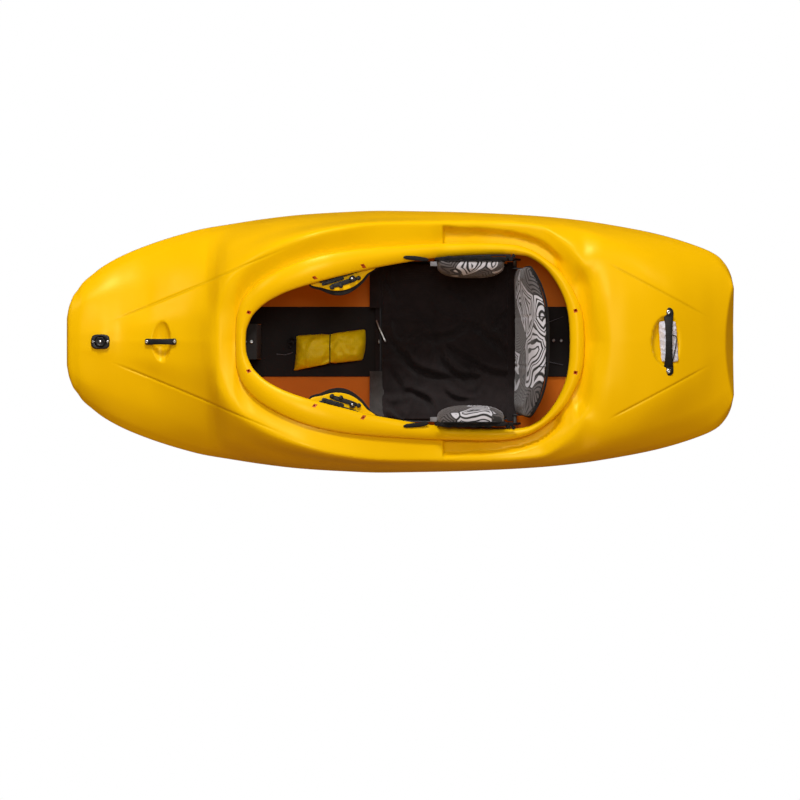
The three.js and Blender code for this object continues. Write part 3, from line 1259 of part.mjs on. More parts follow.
function kitBagBand() {
  const half = BAND_ELASTIC_WIDTH / BAG_LENGTH;
  const reach = 1 + (4 * BAND_ELASTIC_THICKNESS) / BAG_WIDTH;
  const over = (u, v, lift) => {
    const across = v * reach;
    const rise = Math.abs(across) < 1 ? bagTop(0, across) : 0;
    return bagPlace(u * half, across, rise + GAP + lift);
  };
  const upper = (u, v) => over(u, v, BAND_ELASTIC_THICKNESS + BAG_EDGE / 2);
  const block = solidOf(sheetGeometry(1, 12, upper, (u, v) => bagPlace(u * half, v * reach, 0)));
  const wider = 1 + (4 * GAP) / BAG_WIDTH;
  const roomTop = (u, v) => bagPlace(u, v * wider, bagTop(u, v) + 2 * GAP);
  const roomFloor = (u, v) => bagPlace(u, v * wider, -OVERRUN);
  return block.subtract(solidOf(sheetGeometry(BAG_COLUMNS, BAG_ROWS, roomTop, roomFloor)));
}

// Backband adjusters: a cord inside the rim on each side and a pull tab on the rim
function rimInnerPoint(share, inset, up, sign) {
  const x = stationX(share);
  return [x, sign * (outlineBreadth(RIM_INNER_SHARES, share) - inset), rimHeight(x) + up];
}

function adjusterCord(sign) {
  const inset = CORD_DIAMETER / 2 + 2 * GAP;
  const points = CORD_ROUTE_SHARES.map((share) => rimInnerPoint(share, inset, -RIM_CROWN, sign));
  const curve = new THREE.CatmullRomCurve3(points.map((point) => new THREE.Vector3(...point)));
  const section = new THREE.Shape();
  section.absarc(0, 0, CORD_DIAMETER / 2, 0, 2 * Math.PI);
  const options = { steps: 20, extrudePath: curve, curveSegments: CORD_SIDES / 2, bevelEnabled: false };
  return solidOf(new THREE.ExtrudeGeometry(section, options));
}

// Tapered tab lying along the rim
function pullTab(sign) {
  const middle = shareAt(hipPlateFront + HIP_PLATE_THICKNESS - TAB_PAD_CLEARANCE - TAB_LENGTH / 2);
  const place = (u, v, up) => {
    const share = middle + (u * TAB_LENGTH) / 2 / LENGTH;
    const out = outlineBreadth(RIM_INNER_SHARES, share) + TAB_WIDTH * (0.5 - TAB_SKEW_SHARE * u);
    const width = TAB_WIDTH * (1 - TAB_TAPER_SHARE * u * u);
    const x = stationX(share);
    return [x, sign * (out + (v * width) / 2), rimHeight(x) + up];
  };
  const top = (u, v) => place(u, v, TAB_THICKNESS - RIM_WALL / 2 - TAB_CROWN * v * v);
  return solidOf(sheetGeometry(8, 2, top, (u, v) => place(u, v, -RIM_CROWN))).subtract(rimRoom);
}

// Cleat on the front of a hip pad, where the cord is pulled tight
function cleat(sign) {
  const plateFront = hipPlateFront + HIP_PLATE_THICKNESS;
  const [, y, z] = rimInnerPoint(shareAt(plateFront), CLEAT_INSET, -RIM_CROWN, sign);
  const padHeight = hipPadTopFront - HIP_PAD_CORNER_DROP - HIP_PAD_BASE;
  const up = (2 * (z - CLEAT_HEIGHT / 2 - HIP_PAD_BASE)) / padHeight - 1;
  const back = plateFront + (HIP_PAD_LENGTH * HIP_PAD_TAPER_SHARE * up ** 4) / 2 - GAP;
  const low = [back - CLEAT_LENGTH, y - CLEAT_WIDTH / 2, z - CLEAT_HEIGHT / 2];
  return boxSolid(low, [back, y + CLEAT_WIDTH / 2, z + CLEAT_HEIGHT / 2]);
}

// Small crumpled pouch in the dish under the stern handle
function tagPouch() {
  const base = deckMiddle(HANDLE_PLACE_SHARE);
  const place = (u, v, up) => [handleX + (u * TAG_LENGTH) / 2, (v * TAG_WIDTH) / 2, base + up];
  const crown = (u, v) => (1 - u ** 4) * (1 - v ** 4);
  const upper = (u, v) => place(u, v, -TAG_CLEARANCE - (TAG_THICKNESS / 2) * (1 - crown(u, v)));
  const pouch = solidOf(sheetGeometry(8, 10, upper, (u, v) => place(u, v, -DISH_DEPTH - WALL)));
  return pouch.subtract(fitOutside);
}

addShell();
addPart('drain_plug_housing', drainHousing(), blackPlastic);
addPart('drain_plug', drainPlug(), blackPlastic);
addPart('drain_plug_seal', drainSeal(), blackRubber);
addPart('drain_plug_stud', drainStud(), steel);
addPart('bow_bar', bowBar(), blackPlastic);
addPart('stern_handle', sternHandle(), blackRubber);
addPart('tag_pouch', tagPouch(), tagFabric);
addFasteners();
addFoam();
addSeat();
addThighBraces();
addPart('kit_bag', kitBag(), bagFabric);
addPart('kit_bag_band', kitBagBand(), blackRubber);
sides.forEach(([side, sign]) => {
  addPart(`backband_cord_${side}`, adjusterCord(sign), greyCord);
  addPart(`pull_tab_${side}`, pullTab(sign), blackRubber);
  addPart(`cord_cleat_${side}`, cleat(sign), blackPlastic);
});

export default kayak;
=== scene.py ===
"""A moulded freestyle kayak with its outfitting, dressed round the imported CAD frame.

Metres. +X runs from the bow to the stern, +Y to starboard and +Z up.
"""
import math

import bmesh
import bpy
import numpy as np
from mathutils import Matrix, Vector


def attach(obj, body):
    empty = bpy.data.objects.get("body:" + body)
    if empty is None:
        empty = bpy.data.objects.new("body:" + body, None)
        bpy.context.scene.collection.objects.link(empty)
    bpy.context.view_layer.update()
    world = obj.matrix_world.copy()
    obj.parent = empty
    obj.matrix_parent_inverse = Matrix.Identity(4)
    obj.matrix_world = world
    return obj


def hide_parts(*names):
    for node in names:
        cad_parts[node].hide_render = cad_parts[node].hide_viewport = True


bl_info = {
    "name": "Whitewater Kayak",
    "version": (1, 0, 0),
    "blender": (4, 5, 0),
    "location": "View3D > Sidebar > Kayak",
    "description": "Builds a moulded freestyle kayak and its outfitting on a packed frame",
    "category": "Add Mesh",
}

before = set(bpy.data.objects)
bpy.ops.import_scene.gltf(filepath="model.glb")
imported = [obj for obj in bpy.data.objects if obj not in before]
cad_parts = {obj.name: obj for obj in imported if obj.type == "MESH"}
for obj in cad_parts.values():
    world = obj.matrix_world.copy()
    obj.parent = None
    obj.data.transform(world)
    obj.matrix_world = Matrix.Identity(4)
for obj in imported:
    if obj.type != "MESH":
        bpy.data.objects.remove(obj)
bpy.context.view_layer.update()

LENGTH = 1.74
BEAM = 0.689
HEIGHT = 0.381
SIDES = (("starboard", 1), ("port", -1))
ENDS = (("fore", -1), ("aft", 1))

# Places along the boat, as shares of its length from the bow
DRAIN_SHARE = 0.0515
BOW_BAR_SHARE = 0.1421
HANDLE_SHARE = 0.8975

# Share of the length, share of the half beam
BREADTHS = (
    (0, 0.188), (0.003, 0.271), (0.006, 0.316), (0.0089, 0.353), (0.0149, 0.395), (0.0223, 0.451),
    (0.0372, 0.519), (0.0521, 0.579), (0.0818, 0.665), (0.1116, 0.729), (0.1414, 0.782), (0.1711, 0.827),
    (0.2009, 0.865), (0.2455, 0.902), (0.2902, 0.936), (0.3497, 0.97), (0.4092, 0.989), (0.4688, 1),
    (0.5283, 0.996), (0.5878, 0.989), (0.6473, 0.977), (0.7068, 0.959), (0.7664, 0.929), (0.8259, 0.883),
    (0.8854, 0.823), (0.9449, 0.733), (0.9747, 0.664), (0.9881, 0.594), (0.9965, 0.511), (1, 0.432),
)

# Share of the length, then shares of the height
SHEER = (
    (0, 0.577), (0.0104, 0.546), (0.0223, 0.514), (0.0372, 0.483), (0.058, 0.451), (0.0818, 0.423),
    (0.1176, 0.396), (0.1771, 0.378), (0.2366, 0.373), (0.3586, 0.386), (0.564, 0.394), (0.6622, 0.407),
    (0.7768, 0.423), (0.8824, 0.436), (0.9658, 0.449), (1, 0.451),
)
KEEL = (
    (0, 0.562), (0.003, 0.538), (0.0089, 0.504), (0.0149, 0.467), (0.0223, 0.436), (0.0372, 0.388),
    (0.0521, 0.346), (0.0818, 0.278), (0.1116, 0.226), (0.1414, 0.176), (0.1711, 0.136), (0.2009, 0.102),
    (0.2307, 0.073), (0.2604, 0.05), (0.2902, 0.029), (0.3223, 0), (0.5878, 0), (0.625, 0.007),
    (0.6548, 0.017), (0.6771, 0.026), (0.7068, 0.042), (0.7366, 0.06), (0.7664, 0.081), (0.7961, 0.109),
    (0.8557, 0.176), (0.9152, 0.244), (0.9449, 0.286), (0.9747, 0.325), (0.9896, 0.349), (1, 0.386),
)

# Share of the length, share of the breadth there, share of the height
CHINE = (
    (0, 0.9, 0.57), (0.0223, 0.905, 0.451), (0.0521, 0.91, 0.375), (0.0967, 0.91, 0.323),
    (0.1429, 0.91, 0.262), (0.2068, 0.91, 0.192), (0.2976, 0.91, 0.16), (0.4345, 0.91, 0.157),
    (0.5863, 0.912, 0.165), (0.7381, 0.925, 0.207), (0.8899, 0.94, 0.307), (0.9524, 0.947, 0.349),
    (0.9896, 0.95, 0.375), (1, 0.955, 0.394),
)
RAIL = (
    (0, 0.6), (0.0923, 0.63), (0.1562, 0.675), (0.2545, 0.7), (0.3854, 0.72), (0.5491, 0.733),
    (0.6801, 0.737), (0.811, 0.727), (0.9152, 0.74), (0.9688, 0.767), (1, 0.8),
)

# Deck: share of the length, height of its middle, then breadth and height of the foot of the middle,
# of the crease, of the shoulder and of the outer side
DECK = (
    (0, 0.583, 0.15, 0.583, 0.3, 0.583, 0.65, 0.581, 0.9, 0.58),
    (0.003, 0.606, 0.15, 0.606, 0.3, 0.605, 0.65, 0.598, 0.9, 0.583),
    (0.0104, 0.619, 0.12, 0.619, 0.25, 0.617, 0.62, 0.604, 0.88, 0.575),
    (0.0223, 0.63, 0.11, 0.63, 0.22, 0.627, 0.6, 0.609, 0.88, 0.559),
    (0.0521, 0.633, 0.1, 0.633, 0.2, 0.625, 0.6, 0.588, 0.88, 0.52),
    (0.0818, 0.614, 0.13, 0.609, 0.27, 0.598, 0.62, 0.556, 0.88, 0.486),
    (0.119, 0.638, 0.16, 0.627, 0.33, 0.591, 0.66, 0.538, 0.89, 0.462),
    (0.1488, 0.672, 0.18, 0.659, 0.37, 0.619, 0.69, 0.549, 0.9, 0.462),
    (0.1771, 0.717, 0.2, 0.703, 0.41, 0.659, 0.72, 0.57, 0.91, 0.467),
    (0.2009, 0.78, 0.2, 0.766, 0.43, 0.706, 0.74, 0.593, 0.92, 0.475),
    (0.2113, 0.822, 0.18, 0.808, 0.4, 0.748, 0.73, 0.612, 0.925, 0.48),
    (0.2217, 0.858, 0.16, 0.853, 0.34, 0.824, 0.73, 0.646, 0.93, 0.488),
    (0.2307, 0.874, 0.18, 0.874, 0.36, 0.871, 0.75, 0.677, 0.932, 0.496),
    (0.2426, 0.864, 0.22, 0.871, 0.45, 0.89, 0.78, 0.709, 0.935, 0.507),
    (0.2545, 0.85, 0.26, 0.866, 0.53, 0.9, 0.8, 0.727, 0.94, 0.517),
    (0.2768, 0.866, 0.3, 0.871, 0.63, 0.924, 0.83, 0.751, 0.95, 0.535),
    (0.3125, 0.898, 0.5, 0.919, 0.72, 0.966, 0.875, 0.764, 0.965, 0.556),
    (0.3571, 0.919, 0.5, 0.94, 0.79, 0.99, 0.9, 0.769, 0.968, 0.562),
    (0.4092, 0.906, 0.5, 0.919, 0.845, 0.953, 0.918, 0.761, 0.97, 0.559),
    (0.4688, 0.85, 0.5, 0.85, 0.877, 0.866, 0.93, 0.703, 0.972, 0.541),
    (0.5432, 0.724, 0.5, 0.724, 0.89, 0.756, 0.94, 0.643, 0.975, 0.522),
    (0.5878, 0.688, 0.5, 0.688, 0.9, 0.709, 0.946, 0.619, 0.977, 0.517),
    (0.6562, 0.651, 0.5, 0.651, 0.91, 0.672, 0.952, 0.601, 0.978, 0.509),
    (0.7068, 0.656, 0.5, 0.656, 0.9, 0.677, 0.946, 0.604, 0.977, 0.517),
    (0.7396, 0.667, 0.5, 0.667, 0.8, 0.717, 0.925, 0.63, 0.972, 0.525),
    (0.7589, 0.672, 0.5, 0.672, 0.71, 0.745, 0.9, 0.654, 0.966, 0.533),
    (0.7738, 0.677, 0.45, 0.703, 0.62, 0.761, 0.88, 0.669, 0.96, 0.541),
    (0.7842, 0.703, 0.42, 0.756, 0.64, 0.764, 0.87, 0.682, 0.957, 0.543),
    (0.7961, 0.753, 0.4, 0.78, 0.68, 0.761, 0.86, 0.693, 0.955, 0.546),
    (0.811, 0.79, 0.35, 0.79, 0.65, 0.764, 0.84, 0.698, 0.95, 0.551),
    (0.8289, 0.795, 0.3, 0.79, 0.6, 0.766, 0.815, 0.701, 0.945, 0.554),
    (0.8557, 0.782, 0.27, 0.777, 0.535, 0.764, 0.79, 0.69, 0.94, 0.549),
    (0.8929, 0.748, 0.22, 0.748, 0.43, 0.743, 0.75, 0.661, 0.93, 0.538),
    (0.9449, 0.656, 0.15, 0.656, 0.29, 0.654, 0.68, 0.598, 0.91, 0.514),
    (0.9702, 0.596, 0.1, 0.596, 0.21, 0.593, 0.64, 0.562, 0.9, 0.501),
    (0.9896, 0.551, 0.1, 0.551, 0.2, 0.55, 0.6, 0.538, 0.88, 0.504),
    (1, 0.528, 0.1, 0.528, 0.2, 0.528, 0.6, 0.525, 0.88, 0.517),
)

# Half outlines of the rim from bow to stern, the height of its top, and the outer edge of the hip recess
RIM_OUTER = (
    (0.2551, 0), (0.256, 0.15), (0.2597, 0.241), (0.2634, 0.293), (0.2812, 0.406), (0.3177, 0.526),
    (0.372, 0.632), (0.4256, 0.684), (0.4985, 0.718), (0.558, 0.737), (0.6324, 0.744), (0.6667, 0.733),
    (0.6875, 0.707), (0.7068, 0.658), (0.7211, 0.605), (0.7366, 0.534), (0.75, 0.451), (0.7619, 0.338),
    (0.7679, 0.263), (0.7723, 0.15), (0.7738, 0),
)
RIM_INNER = (
    (0.2708, 0), (0.2716, 0.075), (0.2753, 0.135), (0.2812, 0.195), (0.2887, 0.237), (0.2991, 0.282),
    (0.3095, 0.316), (0.3348, 0.376), (0.369, 0.432), (0.4167, 0.496), (0.4554, 0.544), (0.4985, 0.586),
    (0.5432, 0.624), (0.6027, 0.65), (0.6548, 0.658), (0.683, 0.647), (0.7039, 0.598), (0.7211, 0.519),
    (0.7393, 0.368), (0.747, 0.256), (0.7507, 0.12), (0.7515, 0),
)
RIM_HEIGHT = (
    (0.2545, 0.9), (0.2753, 0.924), (0.2976, 0.958), (0.3274, 0.987), (0.3571, 0.997), (0.3869, 0.987),
    (0.4167, 0.961), (0.4464, 0.927), (0.4762, 0.89), (0.506, 0.848), (0.5432, 0.787), (0.5625, 0.753),
    (0.5878, 0.738), (0.6324, 0.711), (0.6771, 0.703), (0.7143, 0.707), (0.744, 0.717), (0.7738, 0.727),
)
RECESS_OUTER = (
    (0.5625, 0.859), (0.59, 0.853), (0.62, 0.846), (0.645, 0.836), (0.669, 0.822), (0.69, 0.795),
    (0.7095, 0.755), (0.726, 0.69), (0.742, 0.6),
)
RECESS_DEPTH = 0.033
LIP_DEPTH = 0.02

# Shares of the rim's width from its outer edge: the stem's outer face, and where the deck is cut inside the stem
STEM_SHARE = 0.35
STEM_CUT_SHARE = 0.42

# Dishes under the bow bar and the stern handle: length, width, depth
BOW_DISH = (0.05, 0.112, 0.018)
STERN_DISH = (0.084, 0.134, 0.0165)

# Transom: where its top edge crosses the middle, how far that edge runs aft at its half width, and its slope
TRANSOM_EDGE = 0.846
TRANSOM_BEND = 0.019
TRANSOM_HALF_WIDTH = 0.155
TRANSOM_SLOPE = 1.8

# Lacing holes: share along the rim's outlines, share from its outer to its inner edge
LACING = ((0.07, 0.68), (0.244, 0.82), (0.3625, 0.81), (0.929, 0.44))

# Soft creases: the two ends of each as [place along, distance from the middle line]
DECK_CREASES = (((-0.769, 0.047), (-0.262, 0.252)), ((0.528, 0.205), (0.818, 0.053)))
HULL_CREASES = (((0.56, 0.146), (0.857, 0.175)),)
CREASE_WIDTH = 0.0032

# How closely the rows of the moulding stand along the boat: share of the length, density from there
ROW_DENSITY = (
    (0, 9), (0.012, 4), (0.035, 1.2), (0.12, 3.8), (0.166, 1.3), (0.2, 2.4), (0.29, 1.1), (0.545, 4),
    (0.575, 1), (0.72, 1.6), (0.815, 1), (0.868, 2.6), (0.928, 1), (0.98, 5),
)


def read_rows(knots, values, at):
    """Monotone cubic through each row of knots and values, read at the given places.

    The slope at a knot is the harmonic mean of the slopes on both sides, or 0 where they disagree.
    """
    step = np.diff(knots)
    rise = np.diff(values) / step
    product = rise[..., 1:] * rise[..., :-1]
    total = rise[..., 1:] + rise[..., :-1]
    inner = np.where(product > 0, 2 * product / np.where(product > 0, total, 1), 0)
    slope = np.concatenate([rise[..., :1], inner, rise[..., -1:]], -1)
    at = np.clip(at, knots[..., :1], knots[..., -1:])
    index = (at[..., :, None] >= knots[..., None, 1:-1]).sum(-1)

    def pick(array, shift=0):
        """The array's value at each place's knot, or some knots further."""
        rows = np.broadcast_to(array, at.shape[:-1] + array.shape[-1:])
        return np.take_along_axis(rows, index + shift, -1)

    start, span = pick(knots), pick(step)
    t = (at - start) / span
    value = between(pick(values), pick(values, 1), t * t * (3 - 2 * t))
    return value + span * (pick(slope) * t * (1 - t) ** 2 - pick(slope, 1) * t * t * (1 - t))


def read_table(table, share, column=1):
    """A table's column at shares of the length."""
    table = np.array(table, float)
    share = np.asarray(share, float)
    return read_rows(table[:, 0], table[:, column], share.reshape(-1)).reshape(share.shape)


def station(share):
    """Place along the boat of a share of its length."""
    return (np.asarray(share, float) - 0.5) * LENGTH


def share_at(x):
    """Share of the length of a place along the boat."""
    return np.asarray(x, float) / LENGTH + 0.5


def outline_breadth(table, share):
    """Half breadth of a rim outline, and 0 outside it."""
    share = np.asarray(share, float)
    inside = (share > table[0][0]) & (share < table[-1][0])
    return np.where(inside, BEAM / 2 * read_table(table, share), 0)


def half_breadth(share):
    """Half breadth of the boat."""
    return BEAM / 2 * read_table(BREADTHS, share)


def keel_height(share):
    """Height of the keel line."""
    return HEIGHT * read_table(KEEL, share)


def deck_middle(share):
    """Height of the deck's middle line."""
    return HEIGHT * read_table(DECK, share)


def rim_height(x):
    """Height of the rim's top at a place along the boat."""
    return HEIGHT * read_table(RIM_HEIGHT, share_at(x))


def ease(value, low, high):
    """Smooth step from 0 at low to 1 at high."""
    t = np.clip((value - low) / (high - low), 0, 1)
    return t * t * (3 - 2 * t)


def between(start, stop, share):
    """A share of the way from the start to the stop."""
    return start * (1 - share) + stop * share


def soft_min(a, b, reach):
    """The lower of two heights, with a fillet where they cross."""
    mix = np.clip(0.5 + 0.5 * (b - a) / reach, 0, 1)
    return b * (1 - mix) + a * mix - reach * mix * (1 - mix)


def row_shares(count):
    """Shares of the length for the moulding's rows: the inverse of the running sum of the row density."""
    fine = np.linspace(0, 1, 2001)
    table = np.array(ROW_DENSITY, float)
    density = table[np.searchsorted(table[:, 0], fine, side="right") - 1, 1]
    running = np.concatenate([[0], np.cumsum((density[1:] + density[:-1]) / 2)])
    return np.interp(np.linspace(0, running[-1], count), running, fine)


def deck_path(share):
    """The six points of the deck's half section at each share, from the sheer to the middle.

    In the rim's range the foot lies at the rim's outer edge, as low as the lower edge of its lip.
    """
    half = half_breadth(share)

    def point(column):
        """Breadth and height from two columns of the deck's table."""
        return half * read_table(DECK, share, column), HEIGHT * read_table(DECK, share, column + 1)

    fore, aft = RIM_OUTER[0][0], RIM_OUTER[-1][0]
    inside = ease(share, fore - 0.002, fore + 0.006) * (1 - ease(share, aft - 0.012, aft + 0.002))
    reach = outline_breadth(RIM_OUTER, share)
    foot_y, foot_z = point(2)
    least = half * (0.26 - 0.16 * ease(share, 0.2551, 0.3))
    foot_y = np.where((share > fore) & (share < aft), np.maximum(reach, least), foot_y)
    foot_y = np.where((share > 0.76) & (share < aft), np.maximum(reach, half * 0.45), foot_y)
    seat = rim_height(station(share)) - LIP_DEPTH
    foot_z = foot_z + (seat - foot_z) * inside
    top = deck_middle(share)
    middle = top + (seat - top) * inside
    sheer = (half, HEIGHT * read_table(SHEER, share))
    rows = [sheer, point(8), point(6), point(4), (foot_y, foot_z), (0 * half, middle)]
    return np.stack([np.stack(row, -1) for row in rows], 1)


def hull_path(share):
    """The hull's half section at each share, from the sheer down to the middle of the keel."""
    half = half_breadth(share)
    low = keel_height(share)
    chine = (half * read_table(CHINE, share), HEIGHT * read_table(CHINE, share, 2))
    sheer = (half, HEIGHT * read_table(SHEER, share))
    rows = [sheer, chine, (half * read_table(RAIL, share), low), (0 * half, low)]
    return np.stack([np.stack(row, -1) for row in rows], 1)


def path_lengths(path):
    """Running length along each row's points."""
    steps = np.hypot(np.diff(path[..., 0], axis=1), np.diff(path[..., 1], axis=1))
    return np.concatenate([np.zeros((len(path), 1)), np.cumsum(steps, 1)], 1)


def section_point(deck, hull, reach):
    """[breadth, height] on each row's section at a distance from the sheer, up the deck or down the hull.

    Beyond the middle line the section goes on as its mirror image.
    """
    up, down = path_lengths(deck), path_lengths(hull)
    top, bottom = up[:, -1:], down[:, -1:]
    over = np.where(reach > top, 2 * top - reach, np.where(reach < -bottom, -2 * bottom - reach, reach))
    side = np.where((reach > top) | (reach < -bottom), -1, 1)
    above = over >= 0
    share = np.clip(over, 0, None) / top
    knots = up / top
    y_up, z_up = (read_rows(knots, deck[..., axis], share) for axis in (0, 1))
    place = np.clip(-over, 0, None)
    index = (place[..., None] >= down[:, None, 1:-1]).sum(-1)
    pick = lambda array, shift=0: np.take_along_axis(array, index + shift, 1)
    t = (place - pick(down)) / (pick(down, 1) - pick(down))
    y_down, z_down = (between(pick(hull[..., axis]), pick(hull[..., axis], 1), t) for axis in (0, 1))
    return np.where(above, y_up, y_down) * side, np.where(above, z_up, z_down)


def rounded_section(deck, hull, reach, window):
    """The section averaged over a window along its own length, so that its corners become fillets."""
    offsets = np.linspace(-window, window, 9)
    weights = np.cos(offsets / window * math.pi / 2) + 0.02
    pairs = [section_point(deck, hull, reach + offset) for offset in offsets]
    totals = [sum(weight * pair[axis] for weight, pair in zip(weights, pairs)) for axis in (0, 1)]
    return tuple(total / weights.sum() for total in totals)


def dish(x, y, z, share, length, width, depth):
    """Sinks an oval bowl into a height field: half an ellipsoid hung from the deck's middle height."""
    out = ((x - station(share)) / (length / 2)) ** 2 + (y / (width / 2)) ** 2
    bowl = -depth * np.sqrt(np.clip(1 - out, 0, 1)) + 0.12 * np.clip(out - 1, 0, None)
    return soft_min(z, deck_middle(share) + bowl, 0.0025)


def facet(x, y, z):
    """Raked transom: past a line that bends forward in its middle, the deck falls steeply to the end."""
    line = TRANSOM_EDGE + TRANSOM_BEND * (y / TRANSOM_HALF_WIDTH) ** 2
    base = np.interp(line, x[:, 0], z[:, z.shape[1] // 2])
    return soft_min(z, base - TRANSOM_SLOPE * (x - line), 0.004)


def recess(x, y, z, depth):
    """Sinks the hip recess beside the rim: a flat floor under the rim's top, with steep filleted walls."""
    fore, aft = station(RECESS_OUTER[0][0]), station(RECESS_OUTER[-1][0])
    outer = BEAM / 2 * read_table(RECESS_OUTER, share_at(x))
    beyond = np.maximum(np.maximum(fore - x, (x - aft) * 0.25), np.abs(y) - outer)
    return soft_min(z, rim_height(x) - depth + 4.5 * np.clip(beyond + 0.004, 0, None), 0.005)


# Mesh making

def grid_faces(rows, columns, closed_rows=False, closed_columns=False):
    """Corner indices and texture places of a grid's quads."""
    row = np.arange(rows if closed_rows else rows - 1)
    column = np.arange(columns if closed_columns else columns - 1)
    row, column = (axis.reshape(-1) for axis in np.meshgrid(row, column, indexing="ij"))
    corners = ((0, 0), (1, 0), (1, 1), (0, 1))
    faces = np.stack([(row + a) % rows * columns + (column + b) % columns for a, b in corners], -1)
    places = np.stack([np.stack([row + a, column + b], -1) for a, b in corners], 1).astype(float)
    return faces, places


def new_mesh(name, points, faces, places=None, smooth=True):
    """Object at the origin from points and quads, with a UV map where texture places are given."""
    mesh = bpy.data.meshes.new(name)
    points = np.asarray(points, float).reshape(-1, 3)
    mesh.vertices.add(len(points))
    mesh.vertices.foreach_set("co", points.reshape(-1))
    mesh.loops.add(faces.size)
    mesh.loops.foreach_set("vertex_index", faces.reshape(-1).astype(np.int32))
    mesh.polygons.add(len(faces))
    mesh.polygons.foreach_set("loop_start", np.arange(0, faces.size, faces.shape[1], dtype=np.int32))
    if places is not None:
        mesh.uv_layers.new(name="UVMap").data.foreach_set("uv", places.reshape(-1).astype(np.float32))
    mesh.update(calc_edges=True)
    mesh.polygons.foreach_set("use_smooth", np.full(len(faces), smooth))
    piece = bpy.data.objects.new(name, mesh)
    bpy.context.scene.collection.objects.link(piece)
    return piece


def grid_piece(name, points, closed_rows=False, closed_columns=False, scale=(1, 1), smooth=True):
    """Object from a grid of points, its UV map counted in rows and columns times a scale."""
    rows, columns = points.shape[:2]
    faces, places = grid_faces(rows, columns, closed_rows, closed_columns)
    return new_mesh(name, points, faces, places * np.array(scale), smooth)


def walled_piece(name, outer, inner, faces):
    """Walled skin: an outer grid, an inner grid turned over, and a strip between them at every open edge.

    An edge is open where no kept face runs along it the other way. Both skins split their quads alike.
    """
    count = outer.size // 3
    edges = np.stack([faces, np.roll(faces, -1, 1)], -1).reshape(-1, 2)
    code, back = edges[:, 0] * count + edges[:, 1], edges[:, 1] * count + edges[:, 0]
    rim = edges[~np.isin(code, back)]
    strips = np.stack([rim[:, 1], rim[:, 0], rim[:, 0] + count, rim[:, 1] + count], -1)
    points = np.concatenate([outer.reshape(-1, 3), inner.reshape(-1, 3)])
    piece = new_mesh(name, points, np.concatenate([faces, faces[:, [0, 3, 2, 1]] + count, strips]))
    index = np.repeat([0, 1, 0], [len(faces), len(faces), len(strips)])
    piece.data.polygons.foreach_set("material_index", index.astype(np.int32))
    return tidy_mesh(piece)


def tidy_mesh(piece, distance=1e-5):
    """Merges doubled points, drops faces without area and turns every face outwards."""
    work = bmesh.new()
    work.from_mesh(piece.data)
    bmesh.ops.remove_doubles(work, verts=work.verts, dist=distance)
    bmesh.ops.dissolve_degenerate(work, edges=work.edges, dist=distance / 2)
    bmesh.ops.recalc_face_normals(work, faces=work.faces)
    work.to_mesh(piece.data)
    work.free()
    piece.data.update()
    return piece


def paired_sheets(name, upper, lower, scale=(1, 1)):
    """Closed form between two grids of points: the sheets are one grid that wraps round its long edges.

    The ends are closed by rows that shrink to the line between the sheets.
    """
    ring = np.concatenate([upper, lower[:, ::-1]], 1)
    middle = (ring + ring[:, ::-1]) / 2
    ends = [middle[:1], ring, middle[-1:]]
    return tidy_mesh(grid_piece(name, np.concatenate(ends), closed_columns=True, scale=scale))


def full_turn(count):
    """Even angles once round."""
    return np.linspace(0, 2 * math.pi, count, endpoint=False)


def revolve(name, profile, place, sides=32, axis=2):
    """Round form: a profile of [radius, height] turned about an axis through a place."""
    turn = full_turn(sides)
    profile = np.array(profile, float)
    out, up = profile[:, None, 0], profile[:, None, 1] + 0 * turn
    rows = [out * np.cos(turn), out * np.sin(turn), up]
    order = {2: (0, 1, 2), 1: (0, 2, 1), 0: (2, 0, 1)}[axis]
    points = np.stack([rows[index] for index in order], -1) + np.array(place)
    return tidy_mesh(grid_piece(name, points, closed_columns=True))


def sweep(name, points, wide, thick, reference=(0, 0, 1), power=2, sides=16, closed=False):
    """Bar along points: a superellipse section of half width and half thickness, squared up to a reference.

    The section is |side / wide| ^ power + |up / thick| ^ power = 1, at right angles to the points' line.
    """
    points = np.array(points, float)
    along = np.roll(points, -1, 0) - np.roll(points, 1, 0) if closed else np.gradient(points, axis=0)
    along /= np.linalg.norm(along, axis=1, keepdims=True)
    side = np.cross(along, np.array(reference, float))
    side /= np.linalg.norm(side, axis=1, keepdims=True)
    up = np.cross(side, along)
    turn = full_turn(sides)
    round_off = lambda wave: np.sign(wave) * np.abs(wave) ** (2 / power)
    across, rise = round_off(np.cos(turn))[None, :, None], round_off(np.sin(turn))[None, :, None]
    wide, thick = (np.broadcast_to(np.asarray(size, float), len(points))[:, None, None] for size in (wide, thick))
    rings = points[:, None] + wide * across * side[:, None] + thick * rise * up[:, None]
    if not closed:
        rings = np.concatenate([0 * rings[:1] + points[0], rings, 0 * rings[:1] + points[-1]])
    length = np.linalg.norm(np.diff(points, axis=0), axis=1).mean()
    scale = (length, 2 * math.pi * max(wide.mean(), thick.mean()) / sides)
    return tidy_mesh(grid_piece(name, rings, closed, True, scale), 1e-6)


def ellipse(a, b, power=2.0, count=48):
    """Closed superellipse outline at even angles: |x / a| ^ power + |y / b| ^ power = 1."""
    turn = full_turn(count)
    reach = (np.abs(np.cos(turn) / a) ** power + np.abs(np.sin(turn) / b) ** power) ** (-1 / power)
    return np.stack([reach * np.cos(turn), reach * np.sin(turn)], -1)


def circle(radius, count=48):
    """Closed round outline."""
    return ellipse(radius, radius, 2, count)


def lobed(radius, lobes, depth, count=96):
    """Closed outline of a finger wheel: the radius less a share that follows 1 - cos of the lobes' angle."""
    turn = full_turn(count)
    reach = radius * (1 - depth * (1 - np.cos(lobes * turn)))
    return np.stack([reach * np.cos(turn), reach * np.sin(turn)], -1)


